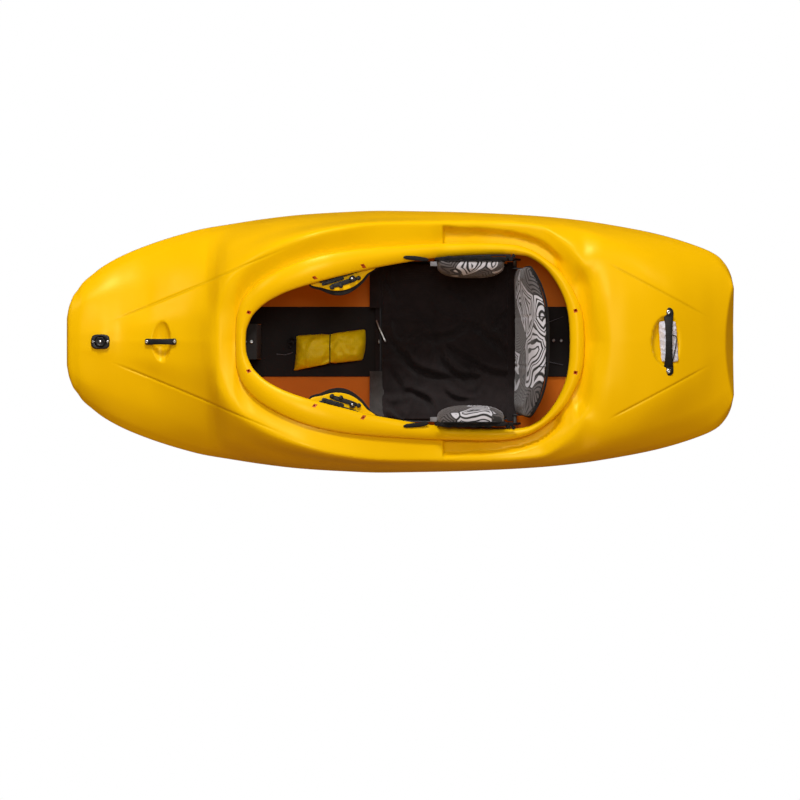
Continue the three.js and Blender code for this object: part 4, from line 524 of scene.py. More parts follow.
def hexagon(radius, count=48):
    """Closed outline of a hexagon at even angles: the apothem over the cosine of the angle from its middle."""
    turn = full_turn(count)
    reach = radius * math.cos(math.pi / 6) / np.cos(turn % (math.pi / 3) - math.pi / 6)
    return np.stack([reach * np.cos(turn), reach * np.sin(turn)], -1)


def rounded_levels(shape, low, high, edge):
    """Outlines at heights of an upright form with rounded edges; shape(inset) gives its outline."""
    turn = np.linspace(0, math.pi / 2, 5)
    inset, rise = edge * (1 - np.sin(turn)), edge * (1 - np.cos(turn))
    lower = [(shape(i), low + r) for i, r in zip(inset, rise)]
    return lower + [(shape(i), high - r) for i, r in zip(inset[::-1], rise[::-1])]


def ringed(name, levels, place=(0, 0, 0)):
    """Closed form through outlines at heights, filled to their middle at both ends."""
    rings = [np.concatenate([outline, np.full((len(outline), 1), height)], 1) for outline, height in levels]
    middle = lambda ring: 0 * ring + ring.mean(0)
    points = np.stack([middle(rings[0]), *rings, middle(rings[-1])]) + np.array(place, float)
    return tidy_mesh(grid_piece(name, points, closed_columns=True))


def joined(name, pieces):
    """One object from several."""
    picked = {"active_object": pieces[0], "selected_editable_objects": pieces, "selected_objects": pieces}
    with bpy.context.temp_override(**picked):
        bpy.ops.object.join()
    pieces[0].name = name
    return pieces[0]


def smooth_line(points, count, closed=False):
    """Points evenly spaced along a smooth curve through given points: a cubic on running length."""
    points = np.array(points, float)
    if closed:
        points = np.concatenate([points[-2:], points, points[:3]])
    run = np.concatenate([[0], np.cumsum(np.linalg.norm(np.diff(points, axis=0), axis=1))])
    low, high = (run[2], run[-3]) if closed else (0, run[-1])
    at = np.linspace(low, high, count, endpoint=not closed)
    spline = [catmull(run, points[:, axis], at) for axis in range(points.shape[1])]
    return np.stack(spline, -1)


def catmull(knots, values, at):
    """Cubic through values at knots whose slopes are the mean of both sides."""
    slope = np.gradient(values, knots)
    index = np.clip(np.searchsorted(knots, at, side="right") - 1, 0, len(knots) - 2)
    span = knots[index + 1] - knots[index]
    t = (at - knots[index]) / span
    bend = slope[index] * t * (1 - t) ** 2 - slope[index + 1] * t * t * (1 - t)
    return between(values[index], values[index + 1], t * t * (3 - 2 * t)) + span * bend


def outline_rings(outline, levels):
    """Rings of a closed plan outline: each level is [inset, height], and the inset goes along the normals."""
    ahead = np.roll(outline, -1, 0) - np.roll(outline, 1, 0)
    normal = np.stack([ahead[:, 1], -ahead[:, 0]], -1)
    normal /= np.linalg.norm(normal, axis=1, keepdims=True)
    area = np.sum(outline[:, 0] * np.roll(outline[:, 1], -1) - np.roll(outline[:, 0], -1) * outline[:, 1])
    normal *= -np.sign(area)
    flat = np.ones((len(outline), 1))
    return np.stack([np.concatenate([outline + normal * inset, height * flat], 1) for inset, height in levels])


def plate(name, outline, low, high, edge, scale=(1, 1)):
    """Flat form with a rounded edge from a closed plan outline, its faces filled to the middle."""
    middle = outline.mean(0)
    turn = np.linspace(0, math.pi / 2, 4)
    rim = [(edge * (1 - math.sin(angle)), edge * (1 - math.cos(angle))) for angle in turn]
    lower = [(inset, low + rise) for inset, rise in rim]
    upper = [(inset, high - rise) for inset, rise in rim[::-1]]
    rings = outline_rings(outline, lower + upper)
    inner = lambda ring, share: np.concatenate([middle + (ring[:, :2] - middle) * share, ring[:, 2:]], 1)
    low_rings = [inner(rings[0], share) for share in (0, 0.5, 0.9)]
    high_rings = [inner(rings[-1], share) for share in (0.9, 0.5, 0)]
    points = np.stack([*low_rings, *rings, *high_rings])
    return tidy_mesh(grid_piece(name, points, closed_columns=True, scale=scale))


def read_points(piece):
    """A mesh's points as an array."""
    points = np.empty(len(piece.data.vertices) * 3)
    piece.data.vertices.foreach_get("co", points)
    return points.reshape(-1, 3)


def write_points(piece, points):
    """Sets a mesh's points from an array."""
    piece.data.vertices.foreach_set("co", np.asarray(points, float).reshape(-1))
    piece.data.update()
    return piece


def apply_modifiers(piece):
    """Makes a piece's modifiers part of its mesh."""
    graph = bpy.context.evaluated_depsgraph_get()
    done = bpy.data.meshes.new_from_object(piece.evaluated_get(graph))
    piece.modifiers.clear()
    piece.data = done
    return piece


def remesh(piece, voxel):
    """Even skin over a closed form, in voxels of a size."""
    modifier = piece.modifiers.new("even_skin", "REMESH")
    modifier.mode = "VOXEL"
    modifier.voxel_size = voxel
    modifier.use_smooth_shade = True
    return apply_modifiers(piece)


def swell(piece, pressure, cap, last=20):
    """Cloth filled under pressure for some frames, with no point moved further than the cap.

    The movement found by the simulation is kept in direction and cut in length where it passes the cap.
    """
    rest = read_points(piece)
    cloth = piece.modifiers.new("stuffing", "CLOTH")
    cloth.settings.quality = 5
    cloth.settings.use_pressure = True
    cloth.settings.uniform_pressure_force = pressure
    cloth.settings.effector_weights.gravity = 0
    cloth.point_cache.frame_start = 1
    cloth.point_cache.frame_end = last
    for step in range(1, last + 1):
        bpy.context.scene.frame_set(step)
    apply_modifiers(piece)
    bpy.context.scene.frame_set(1)
    moved = read_points(piece) - rest
    length = np.linalg.norm(moved, axis=1, keepdims=True)
    return write_points(piece, rest + moved * np.minimum(1, cap / np.maximum(length, 1e-9)))


def settle(piece, body, material, replaced=()):
    """Gives a piece its materials and its body, and hides the CAD nodes it stands for."""
    if piece.data.materials:
        piece.data.materials.clear()
    for item in material if isinstance(material, (list, tuple)) else [material]:
        piece.data.materials.append(item)
    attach(piece, body)
    if replaced:
        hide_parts(*replaced)
    return piece


# Materials

def new_material(name, colour, roughness, **sockets):
    """Material with one Principled shader and the values that are the same all over it."""
    material = bpy.data.materials.new(name)
    material.use_nodes = True
    shader = material.node_tree.nodes["Principled BSDF"]
    shader.inputs["Base Color"].default_value = (*colour, 1)
    shader.inputs["Roughness"].default_value = roughness
    for socket, value in sockets.items():
        shader.inputs[socket.replace("_", " ")].default_value = value
    return material


def node(owner, kind, values=None, **inputs):
    """Adds a node with its properties, and sets or links its inputs, by name or as i0, i1 by number."""
    made = owner.node_tree.nodes.new("ShaderNode" + kind)
    for name, value in (values or {}).items():
        setattr(made, name, value)
    for name, value in inputs.items():
        socket = made.inputs[int(name[1:])] if name[0] == "i" and name[1:].isdigit() else made.inputs[name]
        if isinstance(value, bpy.types.NodeSocket):
            owner.node_tree.links.new(value, socket)
        else:
            socket.default_value = value
    return made


def surface_place(material, scale=(1, 1, 1), kind="Object"):
    """Place on the surface, stretched by a scale."""
    place = node(material, "TexCoord").outputs[kind]
    return node(material, "Mapping", Vector=place, Scale=scale).outputs["Vector"]


def noise(material, place, scale, detail=2.0, rough=0.5, distortion=0.0):
    """Noise texture's value."""
    return node(material, "TexNoise", Vector=place, Scale=scale, Detail=detail, Roughness=rough,
                Distortion=distortion).outputs["Fac"]


def maths(material, operation, a, b=0.0, c=0.0):
    """One step of arithmetic."""
    return node(material, "Math", {"operation": operation}, i0=a, i1=b, i2=c).outputs[0]


def ramp(material, factor, stops):
    """Colour ramp through [place, colour] stops."""
    made = node(material, "ValToRGB", Fac=factor)
    elements = made.color_ramp.elements
    while len(elements) < len(stops):
        elements.new(0.5)
    for element, (place, colour) in zip(elements, stops):
        element.position = place
        element.color = (*colour, 1)
    return made.outputs["Color"]


def blend_colours(material, factor, a, b):
    """Mix of two colours."""
    made = node(material, "Mix", {"data_type": "RGBA"}, i0=factor)
    for index, value in ((6, a), (7, b)):
        if isinstance(value, bpy.types.NodeSocket):
            material.node_tree.links.new(value, made.inputs[index])
        else:
            made.inputs[index].default_value = (*value, 1)
    return made.outputs[2]


def set_input(material, name, value):
    """Links a value to the shader."""
    material.node_tree.links.new(value, material.node_tree.nodes["Principled BSDF"].inputs[name])


def tint(material, colour, value, *stops):
    """Base colour that runs through shades of one colour: each stop is [value, share of the colour]."""
    shades = [(place, scaled(colour, share)) for place, share in stops]
    set_input(material, "Base Color", ramp(material, value, shades))


def vary_roughness(material, value, low, high):
    """Roughness that runs from low to high as a value runs from 0 to 1."""
    set_input(material, "Roughness", node(material, "MapRange", Value=value, i3=low, i4=high).outputs[0])


def bump(material, height, distance, strength=1.0):
    """Relief of a depth in metres."""
    made = node(material, "Bump", Height=height, Distance=distance, Strength=strength)
    set_input(material, "Normal", made.outputs["Normal"])


def scaled(colour, factor):
    """A colour made darker or lighter."""
    return tuple(min(1, channel * factor) for channel in colour)


def crease_value(material, ends):
    """1 on the line between two ends, on both sides of the boat, fading over its width and at both ends."""
    start, stop = np.array(ends[0]), np.array(ends[1])
    length = float(np.hypot(*(stop - start)))
    along = (stop - start) / length
    place = node(material, "SeparateXYZ", Vector=surface_place(material))
    out = maths(material, "ABSOLUTE", place.outputs["Y"])
    mix = lambda a, b, c: maths(material, "ADD", maths(
        material, "MULTIPLY_ADD", place.outputs["X"], float(a), float(c)), maths(material, "MULTIPLY", out, float(b)))
    share = mix(along[0] / length, along[1] / length, -(start @ along) / length)
    across = mix(-along[1], along[0], start[0] * along[1] - start[1] * along[0])
    wave = maths(material, "MULTIPLY", maths(material, "MULTIPLY", across, across), -1 / CREASE_WIDTH ** 2)
    line = maths(material, "EXPONENT", wave)
    smooth = {"interpolation_type": "SMOOTHERSTEP"}
    fade_in = node(material, "MapRange", smooth, Value=share, i1=0.0, i2=0.18).outputs[0]
    fade_out = node(material, "MapRange", smooth, Value=share, i1=1.0, i2=0.7).outputs[0]
    return maths(material, "MULTIPLY", line, maths(material, "MULTIPLY", fade_in, fade_out))


def moulded_plastic(name, colour, creases=(), roughness=0.3):
    """Rotomoulded polyethylene: faint cloudy colour, scuffed gloss, a soft orange-peel skin and creases, bumped in and
    darkened with painted shade along their grooves.
    """
    material = new_material(name, colour, roughness, Specular_IOR_Level=0.34, Specular_Tint=(1, 0.8, 0.24, 1))
    cloud = noise(material, surface_place(material), 3.5, 3)
    tone = ramp(material, cloud, [(0.3, scaled(colour, 0.95)), (0.7, colour)])
    skin = maths(material, "MULTIPLY", noise(material, surface_place(material), 260, 2), 0.06)
    for ends in creases:
        line = crease_value(material, ends)
        # Painted shade: the colour darkens along each crease, standing for the shade in its groove.
        tone = blend_colours(material, maths(material, "MULTIPLY", line, 0.22), tone, scaled(colour, 0.5))
        skin = maths(material, "SUBTRACT", skin, line)
    set_input(material, "Base Color", tone)
    scuff = noise(material, surface_place(material, (1, 1.6, 1.6)), 22, 6, 0.7)
    vary_roughness(material, scuff, roughness - 0.05, roughness + 0.1)
    bump(material, skin, 0.0016)
    return material


def inner_plastic(name, colour, painted_glow):
    """Inside of the moulding: a deeper colour that paints the shade inside the boat, and emitted light of that colour
    that paints the daylight coming through the wall.
    """
    material = new_material(name, colour, 0.6, Emission_Strength=painted_glow, Specular_IOR_Level=0.2)
    cloud = noise(material, surface_place(material), 6, 3)
    tint(material, colour, cloud, (0.3, 0.8), (0.7, 1))
    material.node_tree.nodes["Principled BSDF"].inputs["Emission Color"].default_value = (*colour, 1)
    return material


def hard_plastic(name, colour, roughness=0.42):
    """Injection-moulded part: fine spark-eroded grain and rubbed patches."""
    material = new_material(name, colour, roughness, Specular_IOR_Level=0.35)
    rub = noise(material, surface_place(material), 60, 4, 0.6)
    vary_roughness(material, rub, roughness - 0.08, roughness + 0.12)
    tint(material, colour, rub, (0.35, 1), (0.75, 1.5))
    bump(material, noise(material, surface_place(material), 1400, 1), 0.00006, 0.7)
    return material


def foam(name, colour):
    """Closed-cell foam: sawn cell walls and a dusty sheen."""
    material = new_material(name, colour, 0.92, Sheen_Weight=0.04, Sheen_Roughness=0.6, Specular_IOR_Level=0.3)
    place = surface_place(material)
    cells = node(material, "TexVoronoi", Vector=place, Scale=620).outputs["Distance"]
    patch = noise(material, place, 14, 4)
    tint(material, colour, patch, (0.3, 0.8), (0.7, 1.35))
    bump(material, maths(material, "MULTIPLY_ADD", cells, 1.0, patch), 0.0005, 0.8)
    return material


def weave_height(material, place, pitch):
    """Plain weave: two sets of ribs at right angles, whose crossings alternate."""
    split = node(material, "SeparateXYZ", Vector=place)
    turns = 2 * math.pi / pitch
    wave = lambda socket: maths(material, "SINE", maths(material, "MULTIPLY", split.outputs[socket], turns))
    return maths(material, "MULTIPLY", wave("X"), maths(material, "ADD", wave("Y"), wave("Z")))


def cloth(name, colour, pitch=0.0016, sheen=0.2):
    """Woven cloth: weave relief, with threads that vary and wear pale on the crests."""
    material = new_material(name, colour, 0.88, Sheen_Weight=sheen, Sheen_Roughness=0.5, Specular_IOR_Level=0.25)
    place = surface_place(material)
    patch = noise(material, place, 30, 5, 0.65)
    tint(material, colour, patch, (0.3, 0.75), (0.75, 1.5))
    height = maths(material, "MULTIPLY_ADD", weave_height(material, place, pitch), 0.35, patch)
    bump(material, height, 0.0007, 0.8)
    return material


def printed_cloth(name, ground, pale, dark):
    """Printed cloth: contour lines on grey, with river pebbles cut into bold pale and dark bands.

    Contours and bands follow the distance to the edges of warped cells; some of the cells are pebbles.
    """
    material = new_material(name, ground, 0.8, Sheen_Weight=0.2, Sheen_Roughness=0.5)
    place = surface_place(material, (1.0, 0.75, 1.15))
    wobble = node(material, "TexNoise", Vector=place, Scale=11.0, Detail=1.0)
    bent = node(material, "VectorMath", {"operation": "MULTIPLY_ADD"},
                i0=wobble.outputs["Color"], i1=(0.06, 0.06, 0.06), i2=place).outputs[0]
    cells = node(material, "TexVoronoi", Vector=bent, Scale=13.0)
    edge = node(material, "TexVoronoi", {"feature": "DISTANCE_TO_EDGE"},
                Vector=bent, Scale=13.0).outputs["Distance"]
    drift = noise(material, place, 5, 2, 0.5, 0.5)
    phase = maths(material, "MULTIPLY_ADD", edge, 88.0, maths(material, "MULTIPLY", drift, 36.0))
    height = maths(material, "MULTIPLY_ADD", maths(material, "SINE", phase), 0.5, 0.5)
    lined = ramp(material, height, [(0.2, scaled(ground, 0.15)), (0.5, ground)])
    red = node(material, "SeparateColor", Color=cells.outputs["Color"]).outputs["Red"]
    chosen = maths(material, "GREATER_THAN", red, 0.5)
    bands = ramp(material, edge, [
        (0.0, dark), (0.022, dark), (0.03, pale), (0.085, pale), (0.093, dark), (0.115, dark), (0.123, pale),
        (0.15, pale), (0.158, dark), (0.2, dark), (0.208, pale), (0.27, pale), (0.278, dark), (0.31, dark),
        (0.318, pale),
    ])
    set_input(material, "Base Color", blend_colours(material, chosen, lined, bands))
    bump(material, weave_height(material, place, 0.0013), 0.0002, 0.5)
    return material


def thin_nylon(name, colour, pitch=0.0055):
    """Coated nylon: a ripstop grid, a slight sheen and creases, with painted shade that darkens the colour in their
    hollows.
    """
    material = new_material(name, colour, 0.45, Specular_IOR_Level=0.25)
    place = surface_place(material)
    split = node(material, "SeparateXYZ", Vector=place)
    rib = lambda socket: maths(material, "POWER", maths(material, "ABSOLUTE", maths(
        material, "SINE", maths(material, "MULTIPLY", split.outputs[socket], math.pi / pitch))), 14)
    crease = noise(material, place, 26, 5, 0.6, 0.8)
    # Painted shade: the colour is darker where the crease relief is low.
    tint(material, colour, crease, (0.3, 0.82), (0.65, 1))
    grid = maths(material, "MULTIPLY", maths(material, "MAXIMUM", rib("X"), rib("Y")), 0.12)
    bump(material, maths(material, "ADD", grid, crease), 0.0035, 0.8)
    return material


def soft_rubber(name, colour):
    """Matt rubber with a bloom of fine dust."""
    material = new_material(name, colour, 0.62, Specular_IOR_Level=0.25)
    dust = noise(material, surface_place(material), 90, 5, 0.6)
    tint(material, colour, dust, (0.35, 1), (0.8, 1.9))
    bump(material, noise(material, surface_place(material), 900, 2), 0.00008, 0.7)
    return material


def braided_cord(name, colour, pitch=0.004):
    """Braided sheath on the cord's own map: strands that cross on two slants, with painted shade in the grooves between
    them and painted light on their crests.
    """
    material = new_material(name, colour, 0.8)
    split = node(material, "SeparateXYZ", Vector=surface_place(material, kind="UV"))
    slants = [maths(material, operation, split.outputs["X"], split.outputs["Y"]) for operation in ("ADD", "SUBTRACT")]
    waves = [maths(material, "SINE", maths(material, "MULTIPLY", slant, 2 * math.pi / pitch)) for slant in slants]
    strands = maths(material, "MAXIMUM", *waves)
    # Painted shade and light: the colour follows the strands' relief, dark in the grooves and pale on the crests.
    tint(material, colour, strands, (0.3, 0.5), (0.9, 1.4))
    bump(material, strands, 0.0004)
    return material


def bright_steel(name, colour, roughness=0.28):
    """Stainless steel with fine turning marks."""
    material = new_material(name, colour, roughness, Metallic=1.0)
    marks = noise(material, surface_place(material, (1, 1, 6)), 300, 3, 0.7)
    vary_roughness(material, marks, roughness - 0.08, roughness + 0.14)
    return material


finishes = {}


def finish(name, maker, *values):
    """The material of a name, made on first use."""
    if name not in finishes:
        finishes[name] = maker(name, *values)
    return finishes[name]


# Settings

def length_setting(name, description, default, low, high):
    """A length in metres, with its range."""
    return bpy.props.FloatProperty(
        name=name, description=description, unit="LENGTH", default=default, min=low, max=high)


def colour_setting(name, description, default):
    """A colour."""
    return bpy.props.FloatVectorProperty(
        name=name, description=description, subtype="COLOR", size=3, min=0, max=1, default=default)


class KayakShellSettings(bpy.types.PropertyGroup):
    """Sizes and colours of the moulding."""

    colour: colour_setting("Moulding Colour", "Colour of the outside of the moulding", (0.92, 0.545, 0.0006))
    # Painted light: the inside's deeper colour paints the shade inside the boat, and the wall's emission paints the
    # daylight that comes through it.
    inside: colour_setting("Inside Colour", "Colour of the inside, seen through the cockpit", (0.66, 0.15, 0.0012))
    painted_glow: bpy.props.FloatProperty(
        name="Wall Glow", description="Light that comes through the wall into the boat",
        default=0.07, min=0, max=1)
    wall: length_setting("Wall", "Thickness of the moulded wall", 0.006, 0.002, 0.012)
    fillet: length_setting("Corner Window", "Length over which a section's corners are rounded", 0.009, 0.002, 0.03)
    rows: bpy.props.IntProperty(
        name="Rows", description="Rows of points along the boat", default=286, min=60, max=400)


class KayakRimSettings(bpy.types.PropertyGroup):
    """Sizes of the cockpit rim."""

    crown: length_setting("Crown", "Rise of the roll over its edges", 0.009, 0.002, 0.02)
    lip: length_setting("Lip", "Depth of the outer edge", LIP_DEPTH, 0.01, 0.03)
    skirt: length_setting("Skirt", "Depth of the inner edge", 0.024, 0.01, 0.04)
    stem: length_setting("Stem", "Depth of the stem", 0.046, 0.03, 0.08)
    hole: length_setting("Lacing Hole", "Radius of the lacing holes", 0.0042, 0.001, 0.006)


class KayakTrimSettings(bpy.types.PropertyGroup):
    """Colours of the fittings and the outfitting."""

    plastic: colour_setting("Fittings", "Colour of the hard black parts", (0.012, 0.012, 0.013))
    foam: colour_setting("Foam", "Colour of the pillars and mats", (0.013, 0.011, 0.01))
    cover: colour_setting("Seat Cover", "Colour of the seat's cloth", (0.015, 0.0105, 0.0105))
    ground: colour_setting("Print Ground", "Ground colour of the printed cloth", (0.105, 0.095, 0.095))
    pale: colour_setting("Print Pale", "Pale colour of the printed cloth", (0.58, 0.59, 0.64))
    bag: colour_setting("Kit Bag", "Colour of the kit bag's nylon", (1.0, 0.72, 0.002))
    pressure: bpy.props.FloatProperty(
        name="Stuffing", description="Pressure that fills the padded pieces", default=4, min=0, max=20)


class KayakStageSettings(bpy.types.PropertyGroup):
    """The camera, the floor and the lights."""

    distance: length_setting("Camera Height", "Height of the camera over the ground", 9, 2, 40)
    view_width: length_setting("View Width", "Breadth of the picture at the rim", 2.071, 0.5, 6)
    key: bpy.props.FloatProperty(
        name="Key Light", description="Power of the main lamp", unit="POWER", default=117, min=0, max=400)
    fill: bpy.props.FloatProperty(
        name="Sky", description="Strength of the even light", default=0.26, min=0, max=2)
    warmth: colour_setting("Sky Colour", "Colour of the even light", (1.0, 0.6, 0.34))
    floor: colour_setting("Floor", "Colour of the floor", (0.4, 0.27, 0.14))


class Kayak(bpy.types.PropertyGroup):
    """All settings of the kayak."""

    shell: bpy.props.PointerProperty(type=KayakShellSettings)
    rim: bpy.props.PointerProperty(type=KayakRimSettings)
    trim: bpy.props.PointerProperty(type=KayakTrimSettings)
    stage: bpy.props.PointerProperty(type=KayakStageSettings)


def yellow_plastic():
    """Finish of the rim and of the thigh braces' plates."""
    return finish("yellow_polyethylene", moulded_plastic, tuple(bpy.context.scene.kayak.shell.colour))


def creased_plastic(name, creases):
    """Finish of the outside of a half of the moulding, with its creases and the painted shade along them."""
    colour = tuple(bpy.context.scene.kayak.shell.colour)
    return finish(f"yellow_polyethylene_{name}", moulded_plastic, colour, creases)


def hole_shade_plastic():
    """Finish of the cut walls of the lacing holes: a dark red that paints the shade inside the holes."""
    return finish("cut_polyethylene", hard_plastic, (0.42, 0.06, 0.003))


def inside_plastic():
    """Finish of the inside of the moulding, with its painted shade and painted emitted light."""
    shell = bpy.context.scene.kayak.shell
    return finish("yellow_polyethylene_inside", inner_plastic, tuple(shell.inside), shell.painted_glow)


def black_plastic():
    """Finish of the hard black parts."""
    return finish("black_nylon_plastic", hard_plastic, tuple(bpy.context.scene.kayak.trim.plastic))


def black_foam():
    """Finish of the foam."""
    return finish("black_foam", foam, tuple(bpy.context.scene.kayak.trim.foam))


def black_rubber():
    """Finish of the seal, the stern handle and the pull tabs."""
    return finish("black_rubber", soft_rubber, (0.009, 0.009, 0.009))


def piping_cloth():
    """Finish of the black bindings, stitching and webbing."""
    return finish("black_binding", cloth, (0.01, 0.01, 0.011), 0.0012, 0.04)


def seat_cloth():
    """Finish of the seat's cover and its flaps."""
    return finish("black_seat_cloth", cloth, tuple(bpy.context.scene.kayak.trim.cover), 0.0018, 0.05)


def thin_cord():
    """Finish of the thin grey cords."""
    return finish("grey_thin_cord", braided_cord, (0.12, 0.12, 0.13), 0.002)


def elastic_cord():
    """Finish of the elastics."""
    return finish("black_elastic_cord", braided_cord, (0.014, 0.014, 0.014))


def steel():
    """Finish of the screws, bolts, pins and studs, and of the strap and bar at the seat's front."""
    return finish("stainless_steel", bright_steel, (0.62, 0.62, 0.61))


# Stage

# Lamps: name, place, the point it is turned to, its side, its share of the main lamp's power, and whether it is warm
LAMPS = (
    ("key_lamp", (-0.3, 3.3, 3.0), (-0.05, 0, 0.2), 0.8, 1, False),
    ("top_lamp", (0.1, 0.9, 4.7), (0, 0, 0.2), 1.2, 0.52, False),
    ("stern_lamp", (2.4, 2.3, 2.6), (0.5, 0, 0.2), 0.45, 0.07, False),
    ("bow_lamp", (-3.0, 1.9, 2.2), (-0.5, 0, 0.2), 0.45, 0.11, False),
    ("port_lamp", (0.1, -3.4, 1.5), (0, 0, 0.2), 1.6, 0.14, True),
)
VIEW_LEVEL = 0.27
CAMERA_SHIFT = (-0.0012, -0.0729)


class KAYAK_OT_stage(bpy.types.Operator):
    """Camera over the boat, a pale floor and soft lamps."""

    bl_idname = "kayak.stage"
    bl_label = "Build Stage"

    def execute(self, context):
        stage = context.scene.kayak.stage
        place_camera(stage)
        lay_floor(stage)
        light_sky(stage)
        for name, place, target, size, share, warm in LAMPS:
            colour = stage.warmth if warm else (1, 1, 1)
            lamp(name, place, target, size, stage.key * share, colour)
        context.scene.view_settings.view_transform = "Standard"
        return {"FINISHED"}


def place_camera(stage):
    """Camera straight above the boat, the bow to the left, shifted so that the boat stands high in the picture."""
    data = bpy.data.cameras.new("camera")
    camera = bpy.data.objects.new("camera", data)
    bpy.context.scene.collection.objects.link(camera)
    data.lens = data.sensor_width * (stage.distance - VIEW_LEVEL) / stage.view_width
    data.shift_x, data.shift_y = CAMERA_SHIFT
    camera.location = (0, 0, stage.distance)
    data.clip_end = 60
    bpy.context.scene.camera = camera


def seen_by(owner, plain, dim, white):
    """A shader's output that shiny surfaces see as the dim one and the camera sees as the white one."""
    rays, result = node(owner, "LightPath"), plain.outputs[0]
    for source, other in (("Is Glossy Ray", dim), ("Is Camera Ray", white)):
        result = node(owner, "MixShader", i0=rays.outputs[source], i1=result, i2=other.outputs[0]).outputs[0]
    return result


def lay_floor(stage):
    """Round floor, wide enough for any view: white to the camera, dim to shiny surfaces, clear from below."""
    turn = full_turn(64)
    rings = [np.stack([out * np.cos(turn), out * np.sin(turn), 0 * turn - 0.0005], -1) for out in (0, 1, 3, 9, 30)]
    floor = grid_piece("floor", np.stack(rings), closed_columns=True)
    material = new_material("pale_floor", tuple(stage.floor), 0.9, Specular_IOR_Level=0.0)
    tree = material.node_tree
    white = node(material, "Emission", Color=(1, 1, 1, 1), Strength=1.0)
    dim = node(material, "Emission", Color=(*stage.warmth, 1), Strength=stage.fill * 0.2)
    lit = seen_by(material, tree.nodes["Principled BSDF"], dim, white)
    under = node(material, "NewGeometry").outputs["Backfacing"]
    sided = node(material, "MixShader", i0=under, i1=lit, i2=node(material, "BsdfTransparent").outputs[0])
    tree.links.new(sided.outputs[0], tree.nodes["Material Output"].inputs[0])
    floor.data.materials.append(material)


def light_sky(stage):
    """Even warm light all round, seen as white by the camera and as dim by shiny surfaces."""
    world = bpy.data.worlds.new("studio")
    bpy.context.scene.world = world
    world.use_nodes = True
    tree, warm = world.node_tree, (*stage.warmth, 1)
    sky = tree.nodes["Background"]
    sky.inputs["Color"].default_value = warm
    sky.inputs["Strength"].default_value = stage.fill
    dim = node(world, "Background", Color=warm, Strength=stage.fill * 0.16)
    white = node(world, "Background", Color=(1, 1, 1, 1))
    tree.links.new(seen_by(world, sky, dim, white), tree.nodes["World Output"].inputs["Surface"])


def lamp(name, place, target, size, power, colour):
    """Square soft lamp at a place, turned to a target."""
    data = bpy.data.lights.new(name, "AREA")
    data.shape = "SQUARE"
    data.size = size
    data.energy = power
    data.color = colour
    light = bpy.data.objects.new(name, data)
    light.location = place
    light.rotation_euler = (Vector(target) - Vector(place)).to_track_quat("-Z", "Y").to_euler()
    bpy.context.scene.collection.objects.link(light)


# The moulding

def moulding_points(share, reach_of, window):
    """Grid of points of the moulding: each row is one section, from starboard over the middle to port."""
    deck, hull = deck_path(share), hull_path(share)
    reach = reach_of(path_lengths(deck), path_lengths(hull))
    y, z = rounded_section(deck, hull, reach, window)
    x = np.broadcast_to(station(share)[:, None], y.shape)
    half = np.stack([x, y, z], -1)
    half[:, -1, 1] = 0
    mirrored = half[:, -2::-1] * np.array([1, -1, 1])
    return np.concatenate([half, mirrored], 1)


def closed_ends(points, share):
    """Adds a row at each end, folded onto the line of the sheer, so that bow and transom are closed."""
    ends = points[[0, -1]]
    ends[..., 2] = HEIGHT * read_table(SHEER, share[[0, -1]])[:, None]
    return np.concatenate([ends[:1], points, ends[1:]])


class KAYAK_OT_hull(bpy.types.Operator):
    """Planing hull up to the seam: flat bottom, rails, chines and sides."""

    bl_idname = "kayak.hull"
    bl_label = "Build Hull"

    def execute(self, context):
        shell = context.scene.kayak.shell
        share = row_shares(shell.rows - 40)
        columns = np.concatenate([np.linspace(0, 1, 17)[:-1], np.linspace(1, 2, 15)[:-1], np.linspace(2, 3, 17)])
        reach_of = lambda up, down: -read_lengths(down, columns)
        points = closed_ends(moulding_points(share, reach_of, shell.fillet), share)
        faces, _ = grid_faces(*points.shape[:2])
        hull = walled_piece("hull_shell", points, inner_points(points, share, shell.wall), faces)
        skins = [creased_plastic("hull", HULL_CREASES), inside_plastic()]
        settle(hull, "moulding", skins, ["hull"])
        return {"FINISHED"}


def read_lengths(lengths, columns):
    """Distances at places between a path's points: place 1.5 is half way from the second to the third."""
    low = np.clip(np.floor(columns).astype(int), 0, lengths.shape[1] - 2)
    return lengths[:, low] + (lengths[:, low + 1] - lengths[:, low]) * (columns - low)


def inner_points(points, share, wall):
    """Inner face of the moulding: drawn in from the sides, the ends and the seam by the wall."""
    share = np.concatenate([share[:1], share, share[-1:]])
    x, y, z = (points[..., axis] for axis in range(3))
    away = z - HEIGHT * read_table(SHEER, share)[:, None]
    x = np.clip(x, wall - LENGTH / 2, LENGTH / 2 - wall)
    side = ease(np.abs(y) / half_breadth(share)[:, None], 0.89, 0.97)
    return np.stack([x, y - np.sign(y) * wall * side, z - wall * np.clip(away / wall, -1, 1)], -1)


